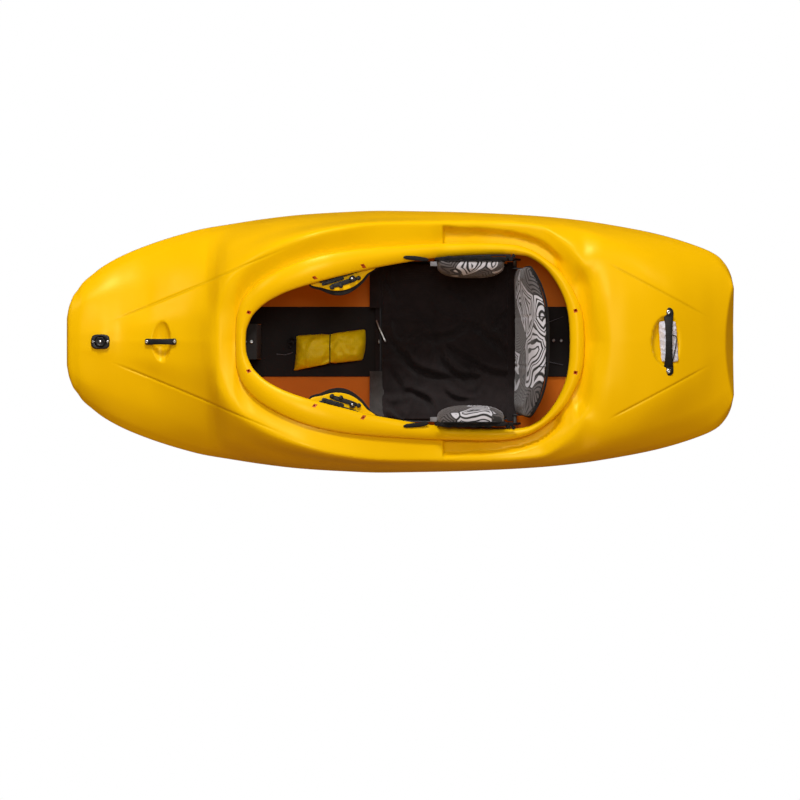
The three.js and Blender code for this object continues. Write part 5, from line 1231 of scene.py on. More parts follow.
class KAYAK_OT_deck(bpy.types.Operator):
    """Deck from the seam to the rim, with its ridge, recesses and dishes."""

    bl_idname = "kayak.deck"
    bl_label = "Build Deck"

    def execute(self, context):
        shell = context.scene.kayak.shell
        share = row_shares(shell.rows)
        columns = np.interp(np.linspace(0, 1, 86), [0, 0.55, 1], [0, 0.68, 1])
        reach_of = lambda up, down: up[:, -1:] * columns
        points = moulding_points(share, reach_of, shell.fillet)
        x, y, z = (points[..., axis] for axis in range(3))
        z = dish(x, y, z, BOW_BAR_SHARE, *BOW_DISH)
        z = dish(x, y, z, HANDLE_SHARE, *STERN_DISH)
        z = recess(x, y, z, RECESS_DEPTH)
        z = facet(x, y, z)
        points = closed_ends(np.stack([x, y, z], -1), share)
        faces, _ = grid_faces(*points.shape[:2])
        middle = points.reshape(-1, 3)[faces].mean(1)
        inner = inner_points(points, share, shell.wall)
        deck = walled_piece("deck_shell", points, inner, faces[~inside_stem(middle)])
        skins = [creased_plastic("deck", DECK_CREASES), inside_plastic()]
        settle(deck, "moulding", skins, ["deck"])
        return {"FINISHED"}


def inside_stem(points):
    """Whether points lie inside the stem of the rim, in plan."""
    outer, inner = rim_edges(np.linspace(0, 1, 200))
    stem = outer + (inner - outer) * STEM_CUT_SHARE
    reach = np.interp(points[:, 0], stem[:, 0], stem[:, 1], left=-1, right=-1)
    return np.abs(points[:, 1]) < reach


def rim_edges(along):
    """Outer and inner edge of the rim's starboard half at shares along its outlines."""
    edges = []
    for table in (RIM_OUTER, RIM_INNER):
        points = np.array(table, float) * np.array([LENGTH, BEAM / 2])
        run = np.concatenate([[0], np.cumsum(np.hypot(*np.diff(points, axis=0).T))])
        x, y = (read_rows(run / run[-1], points[:, axis], along) for axis in (0, 1))
        edges.append(np.stack([x - LENGTH / 2, y], -1))
    return edges


def rim_section(width, rim, wall, count):
    """Closed section of the rim as [across, up] for each width, with its corners rounded.

    The corners are those of a roll with an outer lip, an inner skirt and a stem below.
    """
    crown = [(share, -rim.crown * (2 * share - 1) ** 2) for share in np.linspace(0.06, 0.94, 11)]
    one = np.ones_like(width)
    stem = STEM_SHARE * width
    under = -rim.crown - wall
    corners = [
        (0 * one, -rim.lip), (0 * one, -rim.crown), *[(share * width, up) for share, up in crown],
        (width, -rim.crown), (width, -rim.skirt), (width - wall, -rim.skirt), (width - wall, under),
        (stem + wall, under), (stem + wall, -rim.stem), (stem, -rim.stem), (stem, under),
        (wall * one, under), (wall * one, -rim.lip),
    ]
    path = np.stack([np.stack([across, up * one], -1) for across, up in corners], 1)
    path = np.concatenate([path, path[:, :1]], 1)
    run = path_lengths(path)
    place = np.linspace(0, 1, count, endpoint=False)[None] * run[:, -1:]
    total = 0
    for offset in np.linspace(-0.0045, 0.0045, 7):
        at = (place + offset) % run[:, -1:]
        index = (at[..., None] >= run[:, None, 1:-1]).sum(-1)
        start, end = (np.take_along_axis(run, index + shift, 1) for shift in (0, 1))
        t = ((at - start) / np.maximum(end - start, 1e-9))[..., None]
        low, high = (np.take_along_axis(path, (index + shift)[..., None], 1) for shift in (0, 1))
        total = total + between(low, high, t)
    return total / 7


class KAYAK_OT_rim(bpy.types.Operator):
    """Cockpit rim: a broad roll on a stem, with its lacing holes."""

    bl_idname = "kayak.rim"
    bl_label = "Build Cockpit Rim"

    def execute(self, context):
        rim, wall = context.scene.kayak.rim, context.scene.kayak.shell.wall
        along = np.linspace(0, 1, 121)
        outer, inner = rim_edges(along)
        width = np.linalg.norm(inner - outer, axis=1)
        section = rim_section(width, rim, wall, 72)
        share = section[..., 0] / width[:, None]
        plan = outer[:, None] + (inner - outer)[:, None] * share[..., None]
        z = rim_height(plan[..., 0]) + section[..., 1]
        half = np.concatenate([plan, z[..., None]], -1)
        points = np.concatenate([half, half[-2:0:-1] * np.array([1, -1, 1])])
        roll = tidy_mesh(grid_piece("cockpit_rim_roll", points, closed_rows=True, closed_columns=True))
        drill(roll, lacing_places(), rim.hole)
        settle(roll, "moulding", [yellow_plastic(), hole_shade_plastic()], ["cockpit_rim"])
        holes = lacing_places()[None, :, :2]
        # The walls and mouths of the holes take the dark red finish: painted shade.
        split_finish(roll, lambda places: np.linalg.norm(places[:, None, :2] - holes, axis=2).min(1) < rim.hole * 1.3)
        return {"FINISHED"}


def lacing_places():
    """Middles of the lacing holes on both sides."""
    along, across = np.array(LACING).T
    outer, inner = rim_edges(along)
    plan = outer + (inner - outer) * across[:, None]
    points = np.concatenate([plan, rim_height(plan[:, 0])[:, None]], 1)
    return np.concatenate([points, points * np.array([1, -1, 1])])


def drill(piece, places, radius):
    """Cuts upright round holes through a piece, with worn, widened mouths."""
    cutters = []
    for index, place in enumerate(places):
        core, mouth = radius * 0.4, radius * 1.35
        profile = [(0, -0.03), (core, -0.03), (core, -0.0045), (mouth, 0.0012), (mouth, 0.03), (0, 0.03)]
        cutters.append(revolve(f"cutter_{index}", profile, place, 20))
    cutter = joined("cutter", cutters)
    cut = piece.modifiers.new("holes", "BOOLEAN")
    cut.operation = "DIFFERENCE"
    cut.solver = "EXACT"
    cut.object = cutter
    apply_modifiers(piece)
    bpy.data.objects.remove(cutter)


# Fittings

def fastener(name, place, radius, height, body, replaced, shank=0.002):
    """Domed screw head with a hexagon socket, on a short shank."""
    head = [(0.4, -shank), (0.4, 0)]
    head += [(share, height * up) for share, up in ((1, 0), (1, 0.4), (0.93, 0.66), (0.76, 0.88), (0.55, 1))]
    levels = [
        *[(circle(radius * share), level) for share, level in head],
        (hexagon(radius * 0.5), height), (hexagon(radius * 0.46), height * 0.45),
    ]
    return settle(ringed(name, levels, place), body, steel(), [replaced] if replaced else ())


# Drain housing: half length, half width and height over the deck
DRAIN_HALF = (0.024, 0.019)
DRAIN_RISE = 0.008


class KAYAK_OT_drain(bpy.types.Operator):
    """Drain plug on the foredeck: housing, finger wheel, seal, stud and screws."""

    bl_idname = "kayak.drain"
    bl_label = "Build Drain Plug"

    def execute(self, context):
        x = float(station(DRAIN_SHARE))
        top = float(deck_middle(DRAIN_SHARE)) + DRAIN_RISE
        shape = lambda inset: ellipse(DRAIN_HALF[0] - inset, DRAIN_HALF[1] - inset, 3.4, 96)
        bore = ((0.0152, -0.0001), (0.0146, -0.0006), (0.0142, -0.0036), (0.0112, -0.0036))
        levels = rounded_levels(shape, -0.0115, 0, 0.003) + [(circle(radius, 96), level) for radius, level in bore]
        housing = ringed("drain_housing_body", levels, (x, 0, top))
        settle(housing, "moulding", black_plastic(), ["drain_plug_housing"])
        wheel = lambda inset: lobed(0.013 - inset, 6, 0.06)
        cup = ((0.0086, 0.0072), (0.0078, 0.0062), (0.0052, 0.0062))
        levels = rounded_levels(wheel, 0.0003, 0.0073, 0.0018) + [(circle(radius, 96), level) for radius, level in cup]
        knob = ringed("drain_wheel", levels, (x, 0, top))
        turns = [(0.0072 + 0.0005 * (step % 2), -0.021 + step * 0.0011) for step in range(20)]
        profile = [(0, -0.022), (0.0065, -0.022), *turns, (0.0072, 0.002), (0, 0.002)]
        shank = revolve("drain_shank", profile, (x, 0, top))
        settle(joined("drain_plug_wheel", [knob, shank]), "plug", black_plastic(), ["drain_plug"])
        turn = full_turn(40)
        line = np.stack([x + 0.0094 * np.cos(turn), 0.0094 * np.sin(turn), 0 * turn + top - 0.0018], -1)
        seal = sweep("drain_ring_seal", line, 0.0012, 0.0013, closed=True)
        settle(seal, "plug", black_rubber(), ["drain_plug_seal"])
        dome = [(0, 0), (0.004, 0), (0.004, 0.0008), (0.0034, 0.0016), (0.002, 0.002), (0, 0.0021)]
        stud = revolve("drain_stud_head", dome, (x, 0, top + 0.0075))
        settle(stud, "plug", steel(), ["drain_plug_stud"])
        for end, sign in ENDS:
            place = (x + sign * 0.0186, 0, top + 0.0002)
            fastener(f"drain_screw_{end}", place, 0.0034, 0.0018, "moulding", f"drain_housing_screw_{end}")
        return {"FINISHED"}


# Half lengths of the bow bar and the stern handle
BAR_REACH = 0.042
HANDLE_REACH = 0.089


def bar_top(x):
    """Height of the bow bar's top: the deck, its thickness, and an arch over the dish."""
    share = np.clip(np.abs(x - station(BOW_BAR_SHARE)) / BAR_REACH, 0, 1)
    arch = np.clip(np.cos(math.pi / 2 * share), 0, 1) ** 0.7
    return deck_middle(share_at(x)) + 0.005 + 0.006 * arch


def handle_top(y):
    """Height of the stern handle's top: the deck, its thickness, an arch over the dish and a droop."""
    share = np.clip(np.abs(y) / HANDLE_REACH, 0, 1)
    arch = np.clip(np.cos(math.pi / 2 * np.clip(share / 0.72, 0, 1)), 0, 1) ** 0.6
    return deck_middle(HANDLE_SHARE) + 0.006 + 0.012 * arch - 0.06 * np.abs(y)


def round_ends(share, start):
    """Share of the width that is left near both ends of a rounded bar: a quarter circle past the start."""
    return np.sqrt(np.clip(1 - (np.clip(np.abs(share) - start, 0, None) / (1.0001 - start)) ** 2, 0, 1))


class KAYAK_OT_bow_bar(bpy.types.Operator):
    """Security bar over its dish on the foredeck, with its screws."""

    bl_idname = "kayak.bow_bar"
    bl_label = "Build Bow Bar"

    def execute(self, context):
        share = np.linspace(-1, 1, 97)
        x = station(BOW_BAR_SHARE) + BAR_REACH * share
        points = np.stack([x, 0 * x, bar_top(x) - 0.0025], -1)
        ribs = 0.00035 * np.clip(np.sin(share * 70), 0, 1) * (np.abs(share) < 0.6)
        wide = 0.0085 * round_ends(share, 0.86) * (1 - 0.16 * (1 - share ** 2))
        bar = sweep("bow_bar_body", points, wide, 0.0024 * round_ends(share, 0.94) + ribs, power=3.2, sides=24)
        settle(bar, "moulding", black_plastic(), ["bow_bar"])
        for end, sign in ENDS:
            at = station(BOW_BAR_SHARE) + sign * 0.03675
            seat = max(bar_top(at - 0.0045), bar_top(at + 0.0045))
            head = f"bow_bar_screw_head_{end}"
            fastener(head, (at, 0, seat), 0.0045, 0.0027, "moulding", f"bow_bar_screw_{end}", 0.004)
        return {"FINISHED"}


class KAYAK_OT_handle(bpy.types.Operator):
    """Flexible grip over its dish on the aft deck, with its bolts."""

    bl_idname = "kayak.handle"
    bl_label = "Build Stern Handle"

    def execute(self, context):
        share = np.linspace(-1, 1, 161)
        y = HANDLE_REACH * share
        points = np.stack([station(HANDLE_SHARE) + 0 * y, y, handle_top(y) - 0.003], -1)
        flare = np.minimum(1, 1.3 * np.abs(share)) ** 3
        wide = (0.0085 + 0.0045 * flare) * round_ends(share, 0.84)
        ribs = 0.0005 * np.clip(np.sin(share * 110), 0, 1) * (np.abs(share) < 0.5)
        grip = sweep("stern_handle_grip", points, wide, 0.0029 * round_ends(share, 0.95) + ribs, power=3, sides=24)
        settle(grip, "moulding", black_rubber(), ["stern_handle"])
        for side, sign in SIDES:
            place = (station(HANDLE_SHARE), sign * 0.076, handle_top(0.0695) + 0.0003)
            fastener(f"handle_bolt_{side}", place, 0.0065, 0.0035, "moulding", f"stern_handle_bolt_{side}", 0.006)
        return {"FINISHED"}


# Soft goods

def creases(x, y, seed, count, spread, main, width, depth):
    """Height of folds in cloth: each fold is a soft ridge with a valley beside it along a bent line.

    Every fold has a middle, a direction near the main one, a length and a bend, all from one seed.
    """
    draw = np.random.default_rng(seed)
    total = 0 * x
    low, high = np.array([x.min(), y.min()]), np.array([x.max(), y.max()])
    for _ in range(count):
        middle = low + (high - low) * draw.random(2)
        angle = main + spread * (draw.random() - 0.5)
        length = width * (4 + 7 * draw.random())
        along = (x - middle[0]) * math.cos(angle) + (y - middle[1]) * math.sin(angle)
        across = (y - middle[1]) * math.cos(angle) - (x - middle[0]) * math.sin(angle)
        across = across + (draw.random() - 0.5) * 2.4 * along ** 2 / length
        fade = np.exp(-(along / length) ** 2)
        size = depth * (0.4 + 0.6 * draw.random())
        ridge, valley = np.exp(-(across / width) ** 2), np.exp(-((across - 1.6 * width) / width) ** 2)
        total = total + size * fade * (ridge - 0.7 * valley)
    return total


def stuffed(name, upper, lower, voxel, pressure, cap):
    """Padded form between two grids: an even skin over them, swollen by pressure."""
    piece = remesh(paired_sheets(name, upper, lower), voxel)
    return swell(piece, pressure, cap)


def soften(piece, levels=1):
    """Finishes a soft piece with a subdivision."""
    modifier = piece.modifiers.new("soft_skin", "SUBSURF")
    modifier.levels = levels
    modifier.render_levels = levels
    return piece


def spread_grid(rows, columns):
    """Grid of u and v from -1 to 1, closer together near the edges."""

    def bunched(count):
        """Places from -1 to 1: part of a sine, which crowds them at the ends, and part of even steps."""
        return np.sin(np.linspace(-math.pi / 2, math.pi / 2, count)) * 0.35 + np.linspace(-1, 1, count) * 0.65

    return np.meshgrid(bunched(rows), bunched(columns), indexing="ij")


def crown(u, v, power_u=4, power_v=4, fullness=0.5):
    """1 in the middle of a pad, falling to 0 at its edges."""
    return (np.clip(1 - np.abs(u) ** power_u, 0, 1) * np.clip(1 - np.abs(v) ** power_v, 0, 1)) ** fullness


class KAYAK_OT_tag(bpy.types.Operator):
    """Small crumpled pouch in the dish under the stern handle, with its elastic loop."""

    bl_idname = "kayak.tag"
    bl_label = "Build Pouch"

    def execute(self, context):
        base = float(deck_middle(HANDLE_SHARE))
        u, v = spread_grid(30, 56)
        x = station(HANDLE_SHARE) + 0.0005 + 0.0235 * u * (1 - 0.05 * v ** 2) - 0.0035 * v
        y = 0.0005 + 0.054 * v * (1 - 0.04 * u ** 2)
        full = crown(u, v)
        bowl = -0.0125 * np.sqrt(np.clip(1 - (u * 0.55) ** 2 - (v * 0.74) ** 2, 0, 1))
        upper = np.stack([x, y, base + bowl + 0.0025 + 0.0085 * full], -1)
        lower = np.stack([x, y, base + bowl + 0.0012], -1)
        pouch = stuffed("tag_pouch_body", upper, lower, 0.0025, 2, 0.0015)
        points = read_points(pouch)
        points[:, 2] += creases(points[:, 0], points[:, 1], 5, 34, 2.6, 0.4, 0.0032, 0.0021)
        soften(write_points(pouch, points))
        nylon = finish("tag_coated_nylon", thin_nylon, (0.76, 0.78, 0.88), 0.003)
        settle(pouch, "moulding", nylon, ["tag_pouch"])
        self.build_loop(points)
        return {"FINISHED"}

    def build_loop(self, points):
        """Thin elastic that lies over the pouch in a bent loop from under the grip to its port bolt."""
        plan = smooth_line([
            (-0.003, 0.0145), (0.013, 0.0165), (0.0205, 0.012), (0.0195, -0.004), (0.0165, -0.022),
            (0.0125, -0.042), (0.008, -0.058)], 70)
        plan[:, 0] += station(HANDLE_SHARE)
        far = np.linalg.norm(plan[:, None] - points[None, :, :2], axis=2)
        near = np.where(far < 0.004, points[None, :, 2], -1).max(1)
        height = np.maximum(near, deck_middle(share_at(plan[:, 0])) - 0.006)
        for _ in range(12):
            height = (np.roll(height, 1) + 2 * height + np.roll(height, -1)) / 4
        line = np.concatenate([plan, height[:, None] + 0.0022], 1)
        loop = sweep("pouch_elastic", line, 0.0013, 0.0011, sides=10)
        settle(loop, "moulding", elastic_cord())


# Foam, seat and braces

def rounded_copy(name, node_name, bevel, material, body):
    """A plain CAD solid with its sharp edges rounded."""
    piece = bpy.data.objects.new(name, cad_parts[node_name].data.copy())
    bpy.context.scene.collection.objects.link(piece)
    work = bmesh.new()
    work.from_mesh(piece.data)
    bmesh.ops.remove_doubles(work, verts=work.verts, dist=1e-5)
    bmesh.ops.dissolve_limit(work, angle_limit=math.radians(1), verts=work.verts, edges=work.edges)
    work.to_mesh(piece.data)
    work.free()
    modifier = piece.modifiers.new("rounded_edges", "BEVEL")
    modifier.width = bevel
    modifier.segments = 3
    modifier.limit_method = "ANGLE"
    modifier.angle_limit = math.radians(35)
    modifier.harden_normals = True
    piece.data.polygons.foreach_set("use_smooth", np.ones(len(piece.data.polygons), bool))
    return settle(piece, body, material, [node_name])


# Wall and mat together, and the plan ends of the two cords that lie on the rear mat
MAT_RISE = 0.014
MAT_CORDS = {
    "starboard": ((0.368, 0.043), (0.431, 0.0665)),
    "port": ((0.368, -0.048), (0.431, -0.062)),
}


def mat_top(x):
    """Height of the floor mats' top."""
    return keel_height(share_at(x)) + MAT_RISE


class KAYAK_OT_foam(bpy.types.Operator):
    """Foam pillars, foot blocks and floor mats, with their bolts and cords, and thin black sheets beside the front
    pillar that paint the shade on the floor there.
    """

    bl_idname = "kayak.foam"
    bl_label = "Build Foam"

    def execute(self, context):
        for name in ("front_pillar", "rear_pillar", "floor_mat_front", "floor_mat_rear"):
            rounded_copy(f"{name}_block", name, 0.0015, black_foam(), "moulding")
        for side, _ in SIDES:
            block = f"foot_block_{side}"
            rounded_copy(f"{block}_foam", block, 0.003, black_foam(), "moulding")
        # Painted shade: thin black foam sheets on the floor beside the front pillar, reaching forward under the deck,
        # darken the floor where it lies in shade.
        for side, sign in SIDES:
            along, aside = np.linspace(-0.452, -0.3612, 24), np.linspace(0.047, 0.093, 12)
            x, out = np.meshgrid(along, aside, indexing="ij")
            upper = np.stack([x, sign * out, mat_top(x)], -1)
            mat = paired_sheets(f"bow_shade_sheet_{side}", upper, upper - np.array([0, 0, 0.006]))
            settle(mat, "moulding", black_foam())
        for name, at in (("fore", -0.4024), ("aft", -0.3854)):
            place = (at, 0, float(rim_height(-0.37236)) - 0.052 + 0.0003)
            fastener(f"pillar_screw_{name}", place, 0.0045, 0.0034, "moulding", f"pillar_bolt_{name}", 0)
        for name, at in (("fore", 0.4057), ("aft", 0.4259)):
            place = (at, 0.003, float(mat_top(at)) + 0.0004)
            fastener(f"mat_screw_{name}", place, 0.0042, 0.0024, "moulding", None, 0)
        for side, ends in MAT_CORDS.items():
            share = np.linspace(0, 1, 24)[:, None]
            plan = between(*np.array(ends), share)
            points = np.concatenate([plan, mat_top(plan[:, :1]) + 0.0012 + 0.004 * np.sin(math.pi * share)], 1)
            cord = sweep(f"mat_cord_{side}", points, 0.0009, 0.0009, sides=8)
            settle(cord, "moulding", thin_cord())
        return {"FINISHED"}


SEAT_FRONT = float(station(0.4672))
SEAT_LENGTH = 0.349
SEAT_HALF = 0.658 * BEAM / 2 - 0.0147
PAN_TOP = 0.0333
SEAT_FLAT_HALF = 0.095
SEAT_RISE_LENGTH = 0.068
CUSHION_FULLNESS = 0.0205


def seat_height(x, y):
    """Height of the pan's upper face: flat in the middle, rising to the sides and towards the front."""
    beyond = np.clip(np.abs(y) - SEAT_FLAT_HALF, 0, None) / (SEAT_HALF - SEAT_FLAT_HALF)
    ahead = np.clip(SEAT_FRONT + SEAT_RISE_LENGTH - x, 0, None) / SEAT_RISE_LENGTH
    return PAN_TOP + 0.078 * beyond ** 1.6 + 0.026 * ahead ** 1.5


def seat_plan(u, v):
    """Plan place on the pan of u along it and v across it."""
    corner = 1 - 0.05 * np.abs(u) ** 6
    return SEAT_FRONT + SEAT_LENGTH / 2 + u * SEAT_LENGTH / 2, v * corner * SEAT_HALF


class KAYAK_OT_seat(bpy.types.Operator):
    """Seat pan with its rolled lip, rails and front strap."""

    bl_idname = "kayak.seat"
    bl_label = "Build Seat Pan"

    def execute(self, context):
        u, v = spread_grid(70, 90)
        x, y = seat_plan(u, v)
        z = seat_height(x, y)
        edge = np.maximum(np.abs(u), np.abs(v))
        lip = 0.0016 * ease(edge, 0.975, 1)
        upper = np.stack([x, y, z - lip], -1)
        lower = np.stack([x, y, z - 0.005 + lip], -1)
        pan = paired_sheets("seat_pan_shell", upper, lower)
        settle(pan, "seat", black_plastic(), ["seat_pan"])
        for side, _ in SIDES:
            rail = f"seat_rail_{side}"
            rounded_copy(f"{rail}_bar", rail, 0.0015, black_plastic(), "moulding")
        base = float(seat_height(SEAT_FRONT, 0))
        share = np.linspace(0, 1, 40)[:, None]
        foot = np.array([SEAT_FRONT - 0.0016, 0, base - 0.003])
        top = np.array([SEAT_FRONT - 0.0016, 0, base + 0.0225])
        strap = sweep("seat_front_strap", between(foot, top, share), 0.006, 0.0011, (1, 0, 0), 4, 20)
        settle(strap, "seat", steel(), ["seat_strap"])
        line = smooth_line([
            (-0.0655, 0.0575, 0.0775), (-0.058, 0.038, 0.0835), (-0.049, 0.018, 0.0875), (-0.0405, -0.001, 0.0885)], 40)
        bar = sweep("seat_front_bar", line, 0.0019 * round_ends(share[:, 0] * 2 - 1, 0.94), 0.0012, sides=12)
        settle(bar, "seat", steel())
        return {"FINISHED"}


def flap(name, x, y, z, thickness=0.0022):
    """Hanging cloth: a sheet of points with a thickness, its edges closed."""
    ripple = 0.0014 * np.sin(y * 95 + 3 * x / 0.03) * np.sin(y * 41 + 1)
    upper = np.stack([x, y, z + ripple], -1)
    return paired_sheets(name, upper, upper - np.array([0, 0, thickness]))


# Folds that the seat's cloth is pulled into: points in plan, then width and depth
SEAT_FOLDS = (
    (((0.19, 0.045), (0.215, 0.025), (0.25, -0.005), (0.297, -0.046)), 0.009, 0.013),
    (((0.105, -0.03), (0.12, -0.065), (0.147, -0.09), (0.205, -0.097)), 0.008, 0.012),
    (((-0.002, -0.028), (0.02, -0.06), (0.052, -0.08), (0.14, -0.102)), 0.009, 0.012),
    (((0.013, -0.13), (0.05, -0.145), (0.07, -0.157), (0.086, -0.196)), 0.008, 0.012),
    (((0.052, 0.016), (0.09, 0.008), (0.13, 0.014), (0.185, 0.05)), 0.01, 0.01),
    (((0.112, -0.006), (0.165, -0.042), (0.225, -0.078), (0.295, -0.094)), 0.0085, 0.01),
    (((-0.03, 0.006), (-0.012, -0.018), (0.012, -0.042), (0.03, -0.075)), 0.007, 0.007),
    (((0.25, 0.035), (0.262, 0.058), (0.275, 0.072), (0.292, 0.088)), 0.007, 0.008),
    (((0.115, -0.135), (0.135, -0.15), (0.158, -0.158), (0.18, -0.157)), 0.009, 0.009),
    (((-0.035, -0.07), (-0.015, -0.1), (0.005, -0.135), (0.015, -0.175)), 0.009, 0.006),
)


def pulled_folds(x, y):
    """Height of the pulled folds: a valley along each fold's line, with a softer ridge on its starboard side.

    Both are bells across the line, and fade to nothing at its ends.
    """
    total = 0 * x
    for line, width, depth in SEAT_FOLDS:
        line = smooth_line(line, 40)
        across = np.gradient(line, axis=0)[:, ::-1] * np.array([-1, 1])
        across *= (np.sign(across[:, 1:]) + (across[:, 1:] == 0)) / np.linalg.norm(across, axis=1, keepdims=True)
        fade = np.sin(math.pi * np.linspace(0.02, 0.98, 40)) ** 0.6
        for shift, height, spread in ((0, -depth, width), (1.7 * width, 0.55 * depth, 1.25 * width)):
            path = line + across * shift
            far = (x[:, None] - path[:, 0]) ** 2 + (y[:, None] - path[:, 1]) ** 2
            near = far.argmin(1)
            total = total + height * fade[near] * np.exp(-far[np.arange(len(x)), near] / spread ** 2)
    return total


class KAYAK_OT_cushion(bpy.types.Operator):
    """Seat cushion: loose black cloth over foam, drawn into folds that fan across it."""

    bl_idname = "kayak.cushion"
    bl_label = "Build Seat Cushion"

    def execute(self, context):
        trim = context.scene.kayak.trim
        u, v = spread_grid(80, 96)
        x, y = seat_plan(u * 0.985, v * 0.985)
        z = seat_height(x, y)
        lower = np.stack([x, y, z + 0.0008], -1)
        upper = np.stack([x, y, z + 0.005 + CUSHION_FULLNESS * crown(u, v, 6, 6)], -1)
        cushion = stuffed("seat_cushion_cover", upper, lower, 0.005, trim.pressure, 0.003)
        points = read_points(cushion)
        on_top = ease(points[:, 2] - seat_height(points[:, 0], points[:, 1]), 0.006, 0.014)
        folds = pulled_folds(points[:, 0], points[:, 1])
        folds += creases(points[:, 0], points[:, 1], 11, 14, 1.2, -0.6, 0.01, 0.0055)
        folds += creases(points[:, 0], points[:, 1], 23, 18, 2.8, 0.5, 0.0065, 0.003)
        limit = 0.02 * np.tanh(1.6 * folds / 0.0125)
        points[:, 2] += on_top * limit
        soften(write_points(cushion, points))
        self.build_flaps()
        settle(cushion, "seat", seat_cloth(), ["seat_cushion"])
        return {"FINISHED"}

    def build_flaps(self):
        """Cloth that hangs over the pan's ends: under the backband, at both front corners and below the lip."""
        cover = seat_cloth()
        grey = finish("grey_lining_cloth", cloth, (0.045, 0.042, 0.04), 0.0018)
        front, aft = SEAT_FRONT, SEAT_FRONT + SEAT_LENGTH
        flaps = [
            ("aft", aft - 0.012, aft + 0.014, -0.99, 0.99, cover),
            ("port", front - 0.026, front + 0.012, -0.93, -0.37, grey),
            ("starboard", front - 0.026, front + 0.012, 0.42, 0.95, cover),
            ("middle", front - 0.0105, front + 0.006, -0.4, 0.45, cover),
        ]
        for name, low, high, port, starboard, material in flaps:
            x, side = np.meshgrid(np.linspace(low, high, 14), np.linspace(port, starboard, 90), indexing="ij")
            inside = np.clip(x, SEAT_FRONT, aft)
            y = side * SEAT_HALF * (1 - 0.0012 * np.abs(side) ** 6)
            drop = np.abs(x - inside)
            rise = -0.0075 if name == "middle" else 0.008
            z = seat_height(inside, y) + rise - drop * 0.35 - 9 * drop ** 2
            sheet = flap(f"seat_flap_{name}", x, y, z)
            settle(sheet, "seat", material)


RIM_LOWEST = 0.703 * HEIGHT
BAND_FRONT = float(station(0.6672))
PIN_PLACE = (BAND_FRONT + 0.008, 0.154)
HIP_FRONT = PIN_PLACE[0] + 0.015 - 0.226 + 0.005
HIP_BASE = 0.128
HIP_LENGTH = 0.178
HIP_FULLNESS = 0.033


def hip_spot(u, v):
    """Place along the boat and height on a hip pad of u along it and v up it."""
    length = HIP_LENGTH * (1 - 0.08 * np.abs(v) ** 4)
    top = RIM_LOWEST + 0.062 - 0.03 * ((u + 1) / 2) ** 1.2 - 0.009 * u ** 6
    return HIP_FRONT + 0.088 + u * length / 2, HIP_BASE + (top - HIP_BASE) * (v + 1) / 2


def printed():
    """Finish of the printed panels."""
    trim = bpy.context.scene.kayak.trim
    return finish("printed_pattern_cloth", printed_cloth, tuple(trim.ground), tuple(trim.pale), (0.012, 0.012, 0.012))


def edge_loop(count):
    """u and v round the edge of a panel with rounded corners."""
    turn = full_turn(count)
    reach = (np.abs(np.cos(turn)) ** 9 + np.abs(np.sin(turn)) ** 9) ** (-1 / 9)
    return reach * np.cos(turn), reach * np.sin(turn)


class KAYAK_OT_hips(bpy.types.Operator):
    """Hip pads with printed faces and bound edges, on their plates, with the cord cleats."""

    bl_idname = "kayak.hips"
    bl_label = "Build Hip Pads"

    def execute(self, context):
        pressure = context.scene.kayak.trim.pressure
        for side, sign in SIDES:
            u, v = spread_grid(44, 50)
            x, z = hip_spot(u, v)
            full = crown(u, v, 3, 3)
            outer = sign * (SEAT_HALF - 0.0005 - 0.001 * full)
            inner = sign * (SEAT_HALF - 0.011 - HIP_FULLNESS * full)
            upper = np.stack([x, 0 * x + inner, z], -1)
            lower = np.stack([x, 0 * x + outer, z], -1)
            pad = stuffed(f"hip_cushion_{side}", upper, lower, 0.004, pressure, 0.0022)
            soften(pad)
            settle(pad, "seat", [printed(), black_foam()], [f"hip_pad_{side}"])
            split_finish(pad, lambda places: np.abs(places[:, 1]) > SEAT_HALF - 0.003)
            u, v = edge_loop(160)
            x, z = hip_spot(u * 0.995, v * 0.995)
            loop = np.stack([x, 0 * x + sign * (SEAT_HALF - 0.0035), z], -1)
            binding = sweep(f"hip_binding_{side}", loop, 0.0022, 0.0022, (0, 1, 0), closed=True, sides=10)
            settle(binding, "seat", piping_cloth())
            self.build_webbing(side, sign)
            rounded_copy(f"hip_board_{side}", f"hip_plate_{side}", 0.001, black_plastic(), "seat")
            grey = finish("grey_clamp_plastic", hard_plastic, (0.16, 0.16, 0.17))
            rounded_copy(f"cord_clamp_{side}", f"cord_cleat_{side}", 0.0012, grey, "seat")
        return {"FINISHED"}

    def build_webbing(self, side, sign):
        """Folded webbing along the pad's outer top edge, with its bunched end."""
        share = np.linspace(-1, 1, 90)
        x, z = hip_spot(share, 0 * share + 1)
        x = x + 0.012 * share
        y = SEAT_HALF + 0.0034 + 0.0012 * np.sin(share * 17) - 0.003 * share ** 4
        line = np.stack([x, sign * y, z - 0.009 + 0.0012 * np.sin(share * 23 + 1)], -1)
        wide = 0.0048 * round_ends(share, 0.9) * (1 + 0.12 * np.sin(share * 29))
        strap = sweep(f"hip_webbing_{side}", line, wide, 0.0036 * round_ends(share, 0.94), power=3, sides=16)
        settle(strap, "seat", piping_cloth())
        end, height = line[-1, 0], float(line[-1, 2])
        knots = [
            (-0.006, 0, -0.002), (0.004, 0.004, 0.002), (0.009, -0.002, 0.004), (0.015, 0.006, 0.001),
            (0.02, 0.009, 0.004),
        ]
        points = smooth_line([(end + a, sign * (SEAT_HALF + 0.003 + b), height + c) for a, b, c in knots], 60)
        turn = np.linspace(-1, 1, 60)
        wide = (0.0042 + 0.0014 * np.sin(turn * 9)) * round_ends(turn, 0.8)
        thick = 0.0024 * round_ends(turn, 0.85)
        bunch = sweep(f"hip_webbing_end_{side}", points, wide, thick, power=2.6, sides=14)
        settle(bunch, "seat", piping_cloth())


